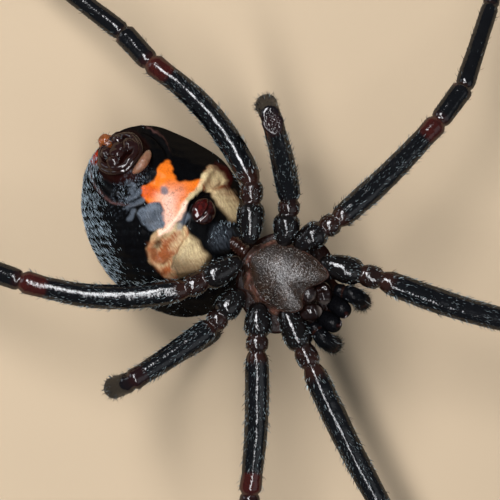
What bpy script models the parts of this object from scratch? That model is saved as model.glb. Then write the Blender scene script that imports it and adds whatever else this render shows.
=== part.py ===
"""East coast button spider: an adult female at life size, resting on its back as it hangs in life.

The head points to -Y, the underside faces up to +Z and the spider's own right is at +X. Lengths
are in millimetres until MM turns them into metres. The origin is on the floor below the middle.
"""

import math

import bmesh
import bpy
from mathutils import Matrix, Vector

MM = 0.001
GAP = 0.28
COLLECTION = "east_coast_button_spider"

# The front body, measured from the middle of the breast plate
CHEST_Z = 5.4
SHIELD_TOP_Z = CHEST_Z - 0.65
SHIELD_HALF = (1.72, 1.9, 1.5)
SHIELD_MIDDLE_Y = -0.36
EYE_RADIUS = 0.12
PLATE_HALF = (0.95, 1.1, 0.36)
PLATE_MIDDLE = (0.08, 0.12, CHEST_Z + 0.12)
LABIUM_HALF = (0.26, 0.26, 0.24)
LABIUM_MIDDLE = (0.08, -0.98, CHEST_Z + 0.1)

# Two rows of four eyes, as (how far ahead, how far down, how far across each) from the dome's middle
EYE_ROWS = (
    (-0.9, -0.28, (-0.3, -0.1, 0.1, 0.3)),
    (-0.8, -0.48, (-0.36, -0.12, 0.12, 0.36)),
)

# The mouthparts on the spider's right, as (place, radius). Those on its left mirror them
MAXILLA = (
    ((0.58, -1.22, 5.3), 0.17),
    ((0.48, -1.36, 5.4), 0.22),
    ((0.33, -1.5, 5.48), 0.22),
    ((0.22, -1.62, 5.5), 0.12),
)
CHELICERA_ROOT = (0.3, -1.86, SHIELD_TOP_Z + GAP + 0.1)
CHELICERA_TIP = (0.28, -2.36, 5.85)
CHELICERA_RADII = ((0.0, 0.19), (0.1, 0.24), (0.45, 0.24), (0.8, 0.22), (1.0, 0.12))
PALP = (
    ((0.68, -1.72, 5.15), 0.16),
    ((0.8, -1.95, 5.26), 0.22),
    ((0.88, -2.25, 5.38), 0.24),
    ((0.9, -2.5, 5.22), 0.25),
    ((0.88, -2.62, 4.92), 0.25),
    ((0.84, -2.66, 4.4), 0.24),
    ((0.78, -2.64, 3.95), 0.23),
    ((0.74, -2.6, 3.75), 0.12),
)

# The abdomen, an egg that lies a little across the body
ABDOMEN_HALF = (2.72, 3.48, 2.75)
ABDOMEN_MIDDLE = (-0.48, 4.33, 2.7)
ABDOMEN_YAW = math.radians(-25.0)
STALK_MIDDLE = (0.1, 1.95, 4.52)
STALK_RADII = ((-0.15, 0.23), (-0.09, 0.27), (0.09, 0.27), (0.15, 0.23))
EPIGYNE = (0.40, 3.60)
EPIGYNE_HALF = (0.36, 0.42, 0.3)
LUNG_COVERS = ((-0.97, 3.0), (1.02, 3.0))
LUNG_COVER_HALF = (0.62, 0.5, 0.16)
FOLD_ENDS = ((-1.55, 3.75), (1.72, 3.65))
FOLD_MIDDLE_Y = 4.2
FOLD_RADII = (0.12, 0.17, 0.17, 0.17, 0.17, 0.17, 0.17, 0.17, 0.12)
SPINNERETS = (0.35, 6.57)
SPINNERET_BASE = ((0.0, 0.46), (0.06, 0.54), (0.18, 0.46))
ANAL_TUBERCLE = (0.47, 7.20)
TUBERCLE_RADII = ((0.0, 0.2), (0.06, 0.25), (0.2, 0.24), (0.3, 0.13))

# The cones of the spinnerets, as (way from the middle, radius, height, bearings) of each ring
SPINNERET_RINGS = (
    (0.32, 0.17, 0.25, (35, 145, 215, 325)),
    (0.14, 0.13, 0.2, (0, 180)),
)

# Coxa with trochanter, femur, patella, tibia, metatarsus and tarsus of each pair of legs
LEG_LENGTHS = {
    1: (2.0, 6.6, 2.0, 5.0, 6.6, 2.1),
    2: (1.5, 4.95, 1.5, 3.2, 4.3, 1.6),
    3: (1.4, 3.35, 1.2, 2.0, 3.0, 1.4),
    4: (1.95, 5.6, 1.5, 4.2, 5.8, 1.7),
}

# Where each femur begins, and the way each segment points: degrees outward from straight ahead
LEG_POSES = {
    "r1": ((1.84, -2.73), (18, 18, 16, 19, 17, 12)),
    "r2": ((2.64, -0.4), (66, 78, 87, 105, 112, 104)),
    "r3": ((2.35, 1.29), (116, 137, 143, 326, 320, 320)),
    "r4": ((2.14, 2.67), (121, 164, 166, 176, 172, 166)),
    "l1": ((-1.87, -2.4), (31, 29, 29, 24, 21, 16)),
    "l2": ((-2.48, -0.61), (58, 59, 57, 52, 50, 46)),
    "l3": ((-2.59, 1.11), (96, 112, 124, 302, 300, 298)),
    "l4": ((-2.05, 2.52), (119, 149, 165, 174, 168, 160)),
}

# Heights of the joints, from where the coxa begins to the tip of the tarsus
LEG_HEIGHTS = {
    "r1": (5.4, 5.4, 4.5, 4.1, 2.7, 0.55, 0.2),
    "r2": (5.4, 5.35, 4.27, 3.9, 2.75, 0.5, 0.2),
    "r3": (5.4, 5.45, 7.3, 6.23, 4.28, 1.5, 0.19),
    "r4": (5.4, 5.4, 3.75, 3.2, 1.9, 0.5, 0.2),
    "l1": (5.4, 5.4, 4.5, 4.1, 2.7, 0.55, 0.2),
    "l2": (5.4, 5.4, 4.3, 3.95, 2.4, 0.5, 0.2),
    "l3": (5.4, 5.45, 6.1, 5.14, 3.39, 1.19, 0.19),
    "l4": (5.4, 5.5, 4.95, 4.5, 3.0, 0.5, 0.2),
}
FEMUR_BOW = {
    "r1": 0.2, "r2": 0.1, "r3": 0.05, "r4": 0.4, "l1": -0.1, "l2": 0.1, "l3": 0.05, "l4": 0.4,
}

# Radii along each segment, as (share of its length, radius)
COXA_RADII = (
    (0.0, 0.22),
    (0.12, 0.34),
    (0.4, 0.43),
    (0.62, 0.38),
    (0.7, 0.31),
    (0.8, 0.36),
    (0.94, 0.37),
    (1.0, 0.29),
)
FEMUR_RADII = (
    (0.0, 0.3),
    (0.05, 0.38),
    (0.3, 0.42),
    (0.6, 0.4),
    (0.88, 0.36),
    (0.96, 0.4),
    (1.0, 0.3),
)
PATELLA_RADII = ((0.0, 0.27), (0.1, 0.36), (0.5, 0.36), (0.85, 0.39), (1.0, 0.28))
TIBIA_RADII = ((0.0, 0.27), (0.05, 0.36), (0.5, 0.33), (0.93, 0.31), (1.0, 0.25))
METATARSUS_RADII = ((0.0, 0.25), (0.04, 0.28), (0.5, 0.26), (0.97, 0.25))
TARSUS_RADII = ((0.05, 0.25), (0.5, 0.25), (0.85, 0.19), (1.0, 0.09))
THICKNESS = {1: 1.0, 2: 0.97, 3: 0.95, 4: 1.0}

MATERIALS = {
    "cuticle_black": ("#15161A", 0.34),
    "joint_brown": ("#3A221C", 0.36),
    "plate_brown": ("#3B332E", 0.4),
    "abdomen_black": ("#191A1F", 0.45),
    "spinneret_red": ("#4A211A", 0.3),
    "tubercle_orange": ("#A8642F", 0.35),
}


def linear(channel):
    """One sRGB channel, 0 to 1, as linear light."""
    return channel / 12.92 if channel <= 0.04045 else ((channel + 0.055) / 1.055) ** 2.4


def make_material(name):
    colour, roughness = MATERIALS[name]
    material = bpy.data.materials.new(name)
    material.use_nodes = True
    shader = material.node_tree.nodes["Principled BSDF"]
    channels = [int(colour[i:i + 2], 16) / 255 for i in (1, 3, 5)]
    shader.inputs["Base Color"].default_value = (*(linear(c) for c in channels), 1.0)
    shader.inputs["Roughness"].default_value = roughness
    shader.inputs["Metallic"].default_value = 0.0
    return material


def clear_scene():
    for thing in list(bpy.data.objects):
        bpy.data.objects.remove(thing, do_unlink=True)


def new_collection(name):
    collection = bpy.data.collections.new(name)
    bpy.context.scene.collection.children.link(collection)
    return collection


def add_object(name, mesh, collection, material=None):
    """An object of this mesh, shaded smooth, in the collection."""
    mesh.shade_smooth()
    thing = bpy.data.objects.new(name, mesh)
    collection.objects.link(thing)
    if material:
        mesh.materials.append(make_material(material))
    return thing


def curve_to_mesh(curve_object):
    """The curve as a mesh in the world, its loose caps welded to the tube. The curve is removed."""
    weld = 1e-7
    bpy.context.view_layer.update()
    evaluated = curve_object.evaluated_get(bpy.context.evaluated_depsgraph_get())
    mesh = bpy.data.meshes.new_from_object(evaluated)
    mesh.transform(curve_object.matrix_world)
    data = curve_object.data
    bpy.data.objects.remove(curve_object, do_unlink=True)
    bpy.data.curves.remove(data)
    bm = bmesh.new()
    bm.from_mesh(mesh)
    bmesh.ops.remove_doubles(bm, verts=bm.verts, dist=weld)
    bmesh.ops.recalc_face_normals(bm, faces=bm.faces)
    bm.to_mesh(mesh)
    bm.free()
    return mesh


def tube_mesh(points, radii, sides_step=3):
    """A closed tube through the points, in millimetres, with its own radius at each."""
    curve = bpy.data.curves.new("tube", "CURVE")
    curve.dimensions = "3D"
    curve.bevel_depth = MM
    curve.bevel_resolution = sides_step
    curve.use_fill_caps = True
    spline = curve.splines.new("POLY")
    spline.points.add(len(points) - 1)
    for spot, point, radius in zip(spline.points, points, radii):
        spot.co = (*(Vector(point) * MM), 1.0)
        spot.radius = radius
    thing = bpy.data.objects.new("tube", curve)
    bpy.context.scene.collection.objects.link(thing)
    return curve_to_mesh(thing)


def rest_on_floor(mesh):
    """Presses flat whatever would sink below the floor."""
    for vertex in mesh.vertices:
        vertex.co.z = max(vertex.co.z, 0.0)


def ball(half, middle, segments=24, rings=14, turn=None):
    """A squashed ball in a new bmesh, in millimetres, with its poles ahead and behind."""
    bm = bmesh.new()
    bmesh.ops.create_uvsphere(bm, u_segments=segments, v_segments=rings, radius=1.0)
    bmesh.ops.rotate(bm, verts=bm.verts, matrix=Matrix.Rotation(math.pi / 2, 3, "X"))
    bmesh.ops.scale(bm, verts=bm.verts, vec=half)
    if turn:
        bmesh.ops.rotate(bm, verts=bm.verts, matrix=turn)
    bmesh.ops.translate(bm, verts=bm.verts, vec=middle)
    return bm


def bmesh_to_mesh(bm, name):
    """Turns millimetres into metres on the way."""
    bmesh.ops.scale(bm, verts=bm.verts, vec=(MM, MM, MM))
    bmesh.ops.recalc_face_normals(bm, faces=bm.faces)
    mesh = bpy.data.meshes.new(name)
    bm.to_mesh(mesh)
    bm.free()
    return mesh


def join_pieces(name, meshes):
    """One closed mesh from overlapping closed meshes: a union that keeps the largest surface."""
    helpers = new_collection(name + "_pieces")
    for mesh in meshes[1:]:
        helpers.objects.link(bpy.data.objects.new("piece", mesh))
    base = bpy.data.objects.new("base", meshes[0])
    bpy.context.scene.collection.objects.link(base)
    union = base.modifiers.new("union", "BOOLEAN")
    union.operation = "UNION"
    union.operand_type = "COLLECTION"
    union.collection = helpers
    bpy.context.view_layer.update()
    evaluated = base.evaluated_get(bpy.context.evaluated_depsgraph_get())
    mesh = bpy.data.meshes.new_from_object(evaluated)
    for thing in [*helpers.objects, base]:
        bpy.data.objects.remove(thing, do_unlink=True)
    bpy.data.collections.remove(helpers)
    keep_largest(mesh)
    return mesh


def keep_largest(mesh):
    """Drops every closed surface but the one with the most faces."""
    bm = bmesh.new()
    bm.from_mesh(mesh)
    left = set(bm.faces)
    surfaces = []
    while left:
        edge_of_search = [left.pop()]
        surface = list(edge_of_search)
        while edge_of_search:
            face = edge_of_search.pop()
            for edge in face.edges:
                for other in edge.link_faces:
                    if other in left:
                        left.remove(other)
                        surface.append(other)
                        edge_of_search.append(other)
        surfaces.append(surface)
    surfaces.sort(key=len, reverse=True)
    loose = [face for surface in surfaces[1:] for face in surface]
    bmesh.ops.delete(bm, geom=loose, context="FACES")
    bm.to_mesh(mesh)
    bm.free()


def smooth_step(low, high, value):
    share = min(max((value - low) / (high - low), 0.0), 1.0)
    return share * share * (3 - 2 * share)


def direction(side, bearing):
    """The flat unit vector at this many degrees outward from straight ahead, on one side."""
    angle = math.radians(bearing)
    return Vector((side * math.sin(angle), -math.cos(angle), 0.0))


def leg_joints(leg):
    """The seven joint places of a leg, from where its coxa begins to its tip."""
    side = 1 if leg[0] == "r" else -1
    lengths = LEG_LENGTHS[int(leg[1])]
    (hip_x, hip_y), bearings = LEG_POSES[leg]
    heights = LEG_HEIGHTS[leg]
    spans = []
    for i, (length, bearing) in enumerate(zip(lengths, bearings)):
        rise = heights[i + 1] - heights[i]
        flat = math.sqrt(length ** 2 - rise ** 2)
        spans.append(direction(side, bearing) * flat + Vector((0, 0, rise)))
    hip = Vector((hip_x, hip_y, heights[1]))
    joints = [hip - spans[0], hip]
    for span in spans[1:]:
        joints.append(joints[-1] + span)
    return joints


def segment_path(start, end, radii, bow, begin, stop):
    """Points from start to end at the shares in radii, bowed sideways, short of both joints."""
    axis = end - start
    length = axis.length
    across = axis.cross(Vector((0, 0, 1)))
    across = across.normalized() if across.length > 1e-6 else Vector((1, 0, 0))
    points = []
    for share, _ in radii:
        along = begin + share * (length - begin - stop)
        lean = math.sin(math.pi * along / length) * bow
        points.append(start + axis * (along / length) + across * lean)
    return points


def half_gaps(joints):
    """How far short of each joint its two segments stop: half the gap, and more where it bends."""
    corner_radius = 0.3
    gaps = [0.0]
    for before, joint, after in zip(joints, joints[1:], joints[2:]):
        bend = (joint - before).angle(after - joint)
        gaps.append(GAP / 2 + corner_radius * math.tan(max(bend - math.radians(20), 0.0) / 2))
    return gaps


def make_leg(leg, collection):
    """The five nodes of one leg: coxa with trochanter, femur, patella, tibia and foot."""
    number = int(leg[1])
    outward = 1 if leg[0] == "r" else -1
    thick = THICKNESS[number]
    joints = leg_joints(leg)
    gaps = half_gaps(joints)
    bow = FEMUR_BOW[leg] * outward
    plan = (
        ("coxa", COXA_RADII, 0.0, "joint_brown"),
        ("femur", FEMUR_RADII, bow, "cuticle_black"),
        ("patella", PATELLA_RADII, 0.0, "joint_brown"),
        ("tibia", TIBIA_RADII, 0.0, "cuticle_black"),
    )
    for i, (part, radii, lean, colour) in enumerate(plan):
        points = segment_path(joints[i], joints[i + 1], radii, lean, gaps[i], gaps[i + 1])
        mesh = tube_mesh(points, [r * thick for _, r in radii])
        add_object(f"leg_{leg}_{part}", mesh, collection, colour)
    shin = segment_path(joints[4], joints[5], METATARSUS_RADII, 0.0, gaps[4], 0.0)
    toe = segment_path(joints[5], joints[6], TARSUS_RADII, 0.0, 0.0, 0.0)
    radii = [r for _, r in METATARSUS_RADII + TARSUS_RADII]
    mesh = tube_mesh(shin + toe, radii)
    rest_on_floor(mesh)
    add_object(f"leg_{leg}_foot", mesh, collection, "cuticle_black")


def shield_place(unit):
    """The place on the back shield that this unit vector points to.

    Ahead the shield narrows to a blunt head with a steep face, and behind it slopes to the stalk.
    """
    half_x, half_y, half_z = SHIELD_HALF
    ahead = max(-unit.y, 0.0)
    behind = smooth_step(0.1, 1.0, unit.y)
    width = 1 - 0.34 * math.exp(-((ahead - 0.58) / 0.24) ** 2) + 0.3 * ahead ** 8
    x = half_x * unit.x * width
    y = SHIELD_MIDDLE_Y + half_y * unit.y
    if unit.z > 0:
        return Vector((x, y, SHIELD_TOP_Z + 0.1 * unit.z))
    depth = half_z * unit.z * (1 + 0.9 * ahead ** 4) * (1 - 0.45 * behind)
    groove = 0.22 * math.exp(-((x / 0.22) ** 2) - ((y - 0.35) / 0.45) ** 2)
    return Vector((x, y, SHIELD_TOP_Z + depth + groove))


def make_carapace(collection):
    """The back shield, its dome towards the floor, with two rows of four eyes on the face."""
    bm = ball((1.0, 1.0, 1.0), (0.0, 0.0, 0.0), 32, 24)
    for vertex in bm.verts:
        vertex.co = shield_place(vertex.co)
    pieces = [bmesh_to_mesh(bm, "shield")]
    for ahead, down, across in EYE_ROWS:
        for x in across:
            place = shield_place(Vector((x, ahead, down)).normalized())
            pieces.append(bmesh_to_mesh(ball((EYE_RADIUS,) * 3, place, 10, 6), "eye"))
    mesh = join_pieces("carapace", pieces)
    add_object("carapace", mesh, collection, "plate_brown")


def make_sternum(collection):
    """The heart-shaped breast plate with the labium at its front edge."""
    bm = ball(PLATE_HALF, PLATE_MIDDLE, 28, 18)
    for vertex in bm.verts:
        co = vertex.co
        behind = smooth_step(0.1, 1.0, (co.y - PLATE_MIDDLE[1]) / PLATE_HALF[1])
        co.x = PLATE_MIDDLE[0] + (co.x - PLATE_MIDDLE[0]) * (1 - 0.35 * behind)
    labium = ball(LABIUM_HALF, LABIUM_MIDDLE, 14, 10)
    pieces = [bmesh_to_mesh(bm, "plate"), bmesh_to_mesh(labium, "labium")]
    mesh = join_pieces("sternum", pieces)
    add_object("sternum", mesh, collection, "plate_brown")


def make_mouthparts(side, letter, collection):
    """One maxilla, chelicera and palp, on the right with side 1 and on the left with side -1."""
    root = Vector(CHELICERA_ROOT)
    tip = Vector(CHELICERA_TIP)
    chelicera = [(root.lerp(tip, share), radius) for share, radius in CHELICERA_RADII]
    plan = (
        ("maxilla", MAXILLA, "joint_brown"),
        ("chelicera", chelicera, "cuticle_black"),
        ("palp", PALP, "cuticle_black"),
    )
    for part, stations, colour in plan:
        points = [Vector((side * x, y, z)) for (x, y, z), _ in stations]
        mesh = tube_mesh(points, [radius for _, radius in stations])
        add_object(f"{part}_{letter}", mesh, collection, colour)


def abdomen_surface(x, y):
    """The top of the plain egg at this place, and its normal there."""
    turn = Matrix.Rotation(ABDOMEN_YAW, 3, "Z")
    middle = Vector(ABDOMEN_MIDDLE)
    flat = turn.transposed() @ Vector((x - middle.x, y - middle.y, 0.0))
    a, b, c = ABDOMEN_HALF
    rest = max(1 - (flat.x / a) ** 2 - (flat.y / b) ** 2, 0.0)
    height = c * math.sqrt(rest)
    normal = Vector((flat.x / a ** 2, flat.y / b ** 2, height / c ** 2)).normalized()
    return Vector((x, y, middle.z + height)), turn @ normal


def bump(place, half):
    """A squashed ball sunk to its middle in the abdomen's skin, its short side outward."""
    middle, normal = abdomen_surface(*place)
    turn = normal.to_track_quat("Z", "Y").to_matrix()
    return bmesh_to_mesh(ball(half, middle, 16, 10, turn), "bump")


def make_abdomen(collection):
    """The egg, drawn in round the stalk, with the epigyne, lung covers and belly fold raised."""
    turn = Matrix.Rotation(ABDOMEN_YAW, 3, "Z")
    bm = ball(ABDOMEN_HALF, ABDOMEN_MIDDLE, 44, 30, turn)
    stalk = Vector(STALK_MIDDLE)
    dent_depth = 0.5
    dent_width = 0.85
    for vertex in bm.verts:
        near = math.exp(-((vertex.co - stalk).length / dent_width) ** 2)
        vertex.co.y += dent_depth * near
    pieces = [bmesh_to_mesh(bm, "egg"), bump(EPIGYNE, EPIGYNE_HALF)]
    pieces += [bump(place, LUNG_COVER_HALF) for place in LUNG_COVERS]
    (left_x, left_y), (right_x, right_y) = FOLD_ENDS
    fold = []
    for i in range(len(FOLD_RADII)):
        share = i / (len(FOLD_RADII) - 1)
        x = left_x + (right_x - left_x) * share
        arch = 1 - (2 * share - 1) ** 2
        y = left_y + (right_y - left_y) * share + (FOLD_MIDDLE_Y - (left_y + right_y) / 2) * arch
        fold.append(abdomen_surface(x, y)[0])
    pieces.append(tube_mesh(fold, FOLD_RADII, 2))
    mesh = join_pieces("abdomen", pieces)
    rest_on_floor(mesh)
    add_object("abdomen", mesh, collection, "abdomen_black")


def make_spinnerets(collection):
    """The rosette: a low round base with six blunt cones leaning together."""
    place, normal = abdomen_surface(*SPINNERETS)
    aim = normal.to_track_quat("Z", "Y").to_matrix()
    foot = place + normal * GAP
    base = [foot + normal * height for height, _ in SPINNERET_BASE]
    pieces = [tube_mesh(base, [radius for _, radius in SPINNERET_BASE], 4)]
    for ring, thick, height, bearings in SPINNERET_RINGS:
        for bearing in bearings:
            angle = math.radians(bearing)
            out = aim @ Vector((math.cos(angle), math.sin(angle), 0.0))
            low = foot + normal * 0.1 + out * ring
            high = foot + normal * (0.13 + height) + out * ring * 0.7
            cone = [low, low.lerp(high, 0.6), high]
            pieces.append(tube_mesh(cone, (thick, thick * 0.9, thick * 0.4), 2))
    add_object("spinnerets", join_pieces("spinnerets", pieces), collection, "spinneret_red")


def make_tubercle(collection):
    """The anal tubercle behind the spinnerets."""
    place, normal = abdomen_surface(*ANAL_TUBERCLE)
    points = [place + normal * (GAP + height) for height, _ in TUBERCLE_RADII]
    mesh = tube_mesh(points, [radius for _, radius in TUBERCLE_RADII])
    add_object("anal_tubercle", mesh, collection, "tubercle_orange")


def make_stalk(collection):
    """The pedicel between the back shield and the abdomen."""
    middle = Vector(STALK_MIDDLE)
    points = [middle + Vector((0.0, along, 0.0)) for along, _ in STALK_RADII]
    mesh = tube_mesh(points, [radius for _, radius in STALK_RADII])
    add_object("pedicel", mesh, collection, "joint_brown")


def centre_on_floor(collection):
    """Moves every object so that the origin lies below the middle of the whole."""
    bpy.context.view_layer.update()
    corners = []
    for thing in collection.objects:
        corners += [thing.matrix_world @ Vector(corner) for corner in thing.bound_box]
    lowest = [min(corner[axis] for corner in corners) for axis in (0, 1)]
    highest = [max(corner[axis] for corner in corners) for axis in (0, 1)]
    middle = [(low + high) / 2 for low, high in zip(lowest, highest)]
    for thing in collection.objects:
        thing.location -= Vector((*middle, 0.0))


def main():
    clear_scene()
    collection = new_collection(COLLECTION)
    make_abdomen(collection)
    make_spinnerets(collection)
    make_tubercle(collection)
    make_stalk(collection)
    make_carapace(collection)
    make_sternum(collection)
    for side, letter in ((1, "r"), (-1, "l")):
        make_mouthparts(side, letter, collection)
    for leg in LEG_POSES:
        make_leg(leg, collection)
    centre_on_floor(collection)


main()
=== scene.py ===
"""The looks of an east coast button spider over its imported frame: skins, markings and hair."""

import math

import bpy
import numpy as np
from mathutils import Matrix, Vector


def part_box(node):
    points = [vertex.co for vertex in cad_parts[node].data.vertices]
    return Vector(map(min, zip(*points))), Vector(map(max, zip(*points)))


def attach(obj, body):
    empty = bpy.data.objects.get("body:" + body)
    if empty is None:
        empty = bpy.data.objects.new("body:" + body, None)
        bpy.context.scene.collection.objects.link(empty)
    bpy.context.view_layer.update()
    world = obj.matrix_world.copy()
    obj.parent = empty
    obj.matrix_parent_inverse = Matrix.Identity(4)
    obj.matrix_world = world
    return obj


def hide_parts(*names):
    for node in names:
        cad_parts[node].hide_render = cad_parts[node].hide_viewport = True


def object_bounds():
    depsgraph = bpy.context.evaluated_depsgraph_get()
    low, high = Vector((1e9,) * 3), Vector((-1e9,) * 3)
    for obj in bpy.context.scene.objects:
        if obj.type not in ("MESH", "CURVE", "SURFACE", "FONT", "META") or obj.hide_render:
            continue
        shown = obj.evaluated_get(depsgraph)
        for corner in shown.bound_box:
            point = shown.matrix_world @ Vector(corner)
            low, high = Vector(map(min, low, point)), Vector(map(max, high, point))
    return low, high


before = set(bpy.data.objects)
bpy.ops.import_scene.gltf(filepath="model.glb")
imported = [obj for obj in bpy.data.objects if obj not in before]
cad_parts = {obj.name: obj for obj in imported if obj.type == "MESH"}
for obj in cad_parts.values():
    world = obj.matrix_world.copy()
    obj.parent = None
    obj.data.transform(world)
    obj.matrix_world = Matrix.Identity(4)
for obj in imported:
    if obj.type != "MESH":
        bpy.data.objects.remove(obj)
CAD_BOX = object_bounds()

bl_info = {
    "name": "East coast button spider",
    "version": (1, 0, 0),
    "blender": (4, 5, 0),
    "location": "View3D > Sidebar > Spider",
    "description": "Builds the skins, markings and hair of a life-size button spider",
    "category": "Add Mesh",
}

MM = 0.001
ROOT_DEPTH = 0.02  # How far a hair's root lies in the skin
HAIR_PATCH = 0.001  # Side of the cells that a hair takes up on its map
CHEST_Z = 5.4
SHIELD_TOP_Z = CHEST_Z - 0.65
TALLEST = CAD_BOX[1].z / MM

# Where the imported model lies: the sternum's box has its middle here, in the millimetres used below
STERNUM_MIDDLE = (0.08, -0.01)
STERNUM_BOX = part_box("sternum")
OFFSET = np.array([
    (STERNUM_BOX[0].x + STERNUM_BOX[1].x) / 2 / MM - STERNUM_MIDDLE[0],
    (STERNUM_BOX[0].y + STERNUM_BOX[1].y) / 2 / MM - STERNUM_MIDDLE[1],
    0.0,
])

# Coxa with trochanter, femur, patella, tibia, metatarsus and tarsus of each pair of legs
LEG_LENGTHS = {
    1: (2.0, 6.6, 2.0, 5.0, 6.6, 2.1),
    2: (1.5, 4.95, 1.5, 3.2, 4.3, 1.6),
    3: (1.4, 3.35, 1.2, 2.0, 3.0, 1.4),
    4: (1.95, 5.6, 1.5, 4.2, 5.8, 1.7),
}

# Each leg as where its femur begins, the way each segment points in degrees outward from straight
# ahead, the heights of its joints, and how far its femur bows outward
LEGS = {
    "r1": ((1.84, -2.73), (18, 18, 16, 19, 17, 12), (5.4, 5.4, 4.5, 4.1, 2.7, 0.55, 0.2), 0.2),
    "r2": ((2.64, -0.4), (66, 78, 87, 105, 112, 104), (5.4, 5.35, 4.27, 3.9, 2.75, 0.5, 0.2), 0.1),
    "r3": ((2.35, 1.29), (116, 137, 143, 326, 320, 320), (5.4, 5.45, 7.3, 6.23, 4.28, 1.5, 0.19),
           0.05),
    "r4": ((2.14, 2.67), (121, 164, 166, 176, 172, 166), (5.4, 5.4, 3.75, 3.2, 1.9, 0.5, 0.2), 0.4),
    "l1": ((-1.87, -2.4), (31, 29, 29, 24, 21, 16), (5.4, 5.4, 4.5, 4.1, 2.7, 0.55, 0.2), -0.1),
    "l2": ((-2.48, -0.61), (58, 59, 57, 52, 50, 46), (5.4, 5.4, 4.3, 3.95, 2.4, 0.5, 0.2), 0.1),
    "l3": ((-2.59, 1.11), (96, 112, 124, 302, 300, 298), (5.4, 5.45, 6.1, 5.14, 3.39, 1.19, 0.19),
           0.05),
    "l4": ((-2.05, 2.52), (119, 149, 165, 174, 168, 160), (5.4, 5.5, 4.95, 4.5, 3.0, 0.5, 0.2),
           0.4),
}
THICKNESS = {1: 1.0, 2: 0.97, 3: 0.95, 4: 1.0}

# The back shield and the eyes on it, as (way ahead, way down, ways across)
SHIELD_HALF = (1.72, 1.9, 1.5)
SHIELD_MIDDLE_Y = -0.36
EYE_RADIUS = 0.12
EYE_ROWS = (
    (-0.9, -0.28, (-0.3, -0.1, 0.1, 0.3)),
    (-0.8, -0.48, (-0.36, -0.12, 0.12, 0.36)),
)

# Outlines of the six stretches of a leg, as (share of its length, radius), necks at the joints
LEG_OUTLINES = (
    (
        (0.0, 0.1), (0.03, 0.22), (0.1, 0.31), (0.22, 0.39), (0.4, 0.47), (0.54, 0.47),
        (0.63, 0.41), (0.672, 0.31), (0.7, 0.315), (0.735, 0.37), (0.84, 0.39), (0.94, 0.375),
        (0.975, 0.31), (1.0, 0.28),
    ),
    (
        (0.0, 0.27), (0.015, 0.32), (0.045, 0.385), (0.12, 0.415), (0.3, 0.425), (0.6, 0.4),
        (0.85, 0.365), (0.93, 0.385), (0.965, 0.38), (0.985, 0.33), (1.0, 0.27),
    ),
    (
        (0.0, 0.27), (0.04, 0.335), (0.12, 0.365), (0.5, 0.37), (0.86, 0.385), (0.94, 0.36),
        (1.0, 0.25),
    ),
    (
        (0.0, 0.25), (0.025, 0.325), (0.08, 0.34), (0.5, 0.31), (0.92, 0.3), (0.97, 0.285),
        (1.0, 0.23),
    ),
    ((0.0, 0.23), (0.02, 0.28), (0.08, 0.275), (0.5, 0.255), (0.95, 0.245), (1.0, 0.21)),
    ((0.0, 0.21), (0.05, 0.24), (0.5, 0.23), (0.8, 0.185), (0.95, 0.13), (1.0, 0.07)),
)

# The abdomen, an egg that lies a little across the body, and what is on its underside
ABDOMEN_HALF = (2.72, 3.48, 2.75)
ABDOMEN_MIDDLE = (-0.48, 4.33, 2.7)
ABDOMEN_YAW = math.radians(-25.0)
STALK = (0.1, 1.95, 4.52)
EPIGYNE = (0.38, 3.52)
SPINNERETS = (0.45, 6.82)
ANAL_TUBERCLE = (0.49, 7.28)
RING_FOLD = (0.38, 6.4, 1.42)


def linear_colour(code):
    """An sRGB hex colour such as #0C0D10 as three linear channels."""
    channels = [int(code[i:i + 2], 16) / 255 for i in (1, 3, 5)]
    return tuple(c / 12.92 if c <= 0.04045 else ((c + 0.055) / 1.055) ** 2.4 for c in channels)


def colour_property(name, description, code):
    return bpy.props.FloatVectorProperty(
        name=name, description=description, subtype="COLOR", size=3, min=0.0, max=1.0,
        default=linear_colour(code),
    )


def length_property(name, description, millimetres):
    return bpy.props.FloatProperty(
        name=name, description=description, default=millimetres * MM, min=0.0,
        unit="LENGTH", subtype="DISTANCE", precision=5,
    )


class SpiderColours(bpy.types.PropertyGroup):
    """The colours of the spider's surfaces."""

    cuticle: colour_property("Cuticle", "Hardened skin of the legs", "#08080A")
    coxa: colour_property("Coxa", "Hardened skin near the body", "#0C0807")
    trochanter: colour_property("Trochanter", "Short ring beyond the coxa", "#27130D")
    ruddy: colour_property("Ruddy end", "Smooth end of each femur", "#330F0B")
    membrane: colour_property("Joint membrane", "Soft skin in the joints", "#6B463B")
    abdomen: colour_property("Abdomen", "Black skin of the abdomen", "#070708")
    orange: colour_property("Orange", "Bright mark on the belly", "#E0701F")
    salmon: colour_property("Salmon", "Middle of the belly mark", "#D88460")
    pink: colour_property("Pink", "Palest part of the belly mark", "#E3B7A2")
    cream: colour_property("Cream", "Lung covers and belly fold", "#C7B389")
    lobe: colour_property("Lobe", "Brown ends of the belly fold", "#8C4E2C")
    slate: colour_property("Slate", "Wrinkled blue-grey patch", "#5E6670")
    crease: colour_property("Crease", "Ring fold round the spinnerets", "#5A3E3A")
    stripe: colour_property("Stripe", "Red stripe on the back", "#9E2E18")
    epigyne: colour_property("Epigyne", "Dark red plate", "#3A0B08")
    spinneret: colour_property("Spinnerets", "Cones of the rosette", "#1E0A08")
    tubercle: colour_property("Anal tubercle", "Orange-brown knob", "#84461F")
    plate: colour_property("Breast plate", "Brown plate between the legs", "#26180D")
    pleura: colour_property("Side skin", "Soft skin round the breast plate", "#24150F")
    maxilla: colour_property("Maxilla", "Glossy lobes beside the mouth", "#160B09")
    pale_horn: colour_property("Pale horn", "Thin pale rims of the mouthparts", "#6E645E")
    colulus: colour_property("Colulus", "Pale lobe before the spinnerets", "#7E5A45")
    eye: colour_property("Eyes", "Lenses of the eyes", "#1A1512")
    hair: colour_property("Hair", "Short dark hair", "#12181C")
    pale_hair: colour_property("Pale hair", "Short pale hair", "#C2CBCF")
    floor: colour_property("Floor", "Painted board that the model lies on", "#BCA78B")


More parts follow.
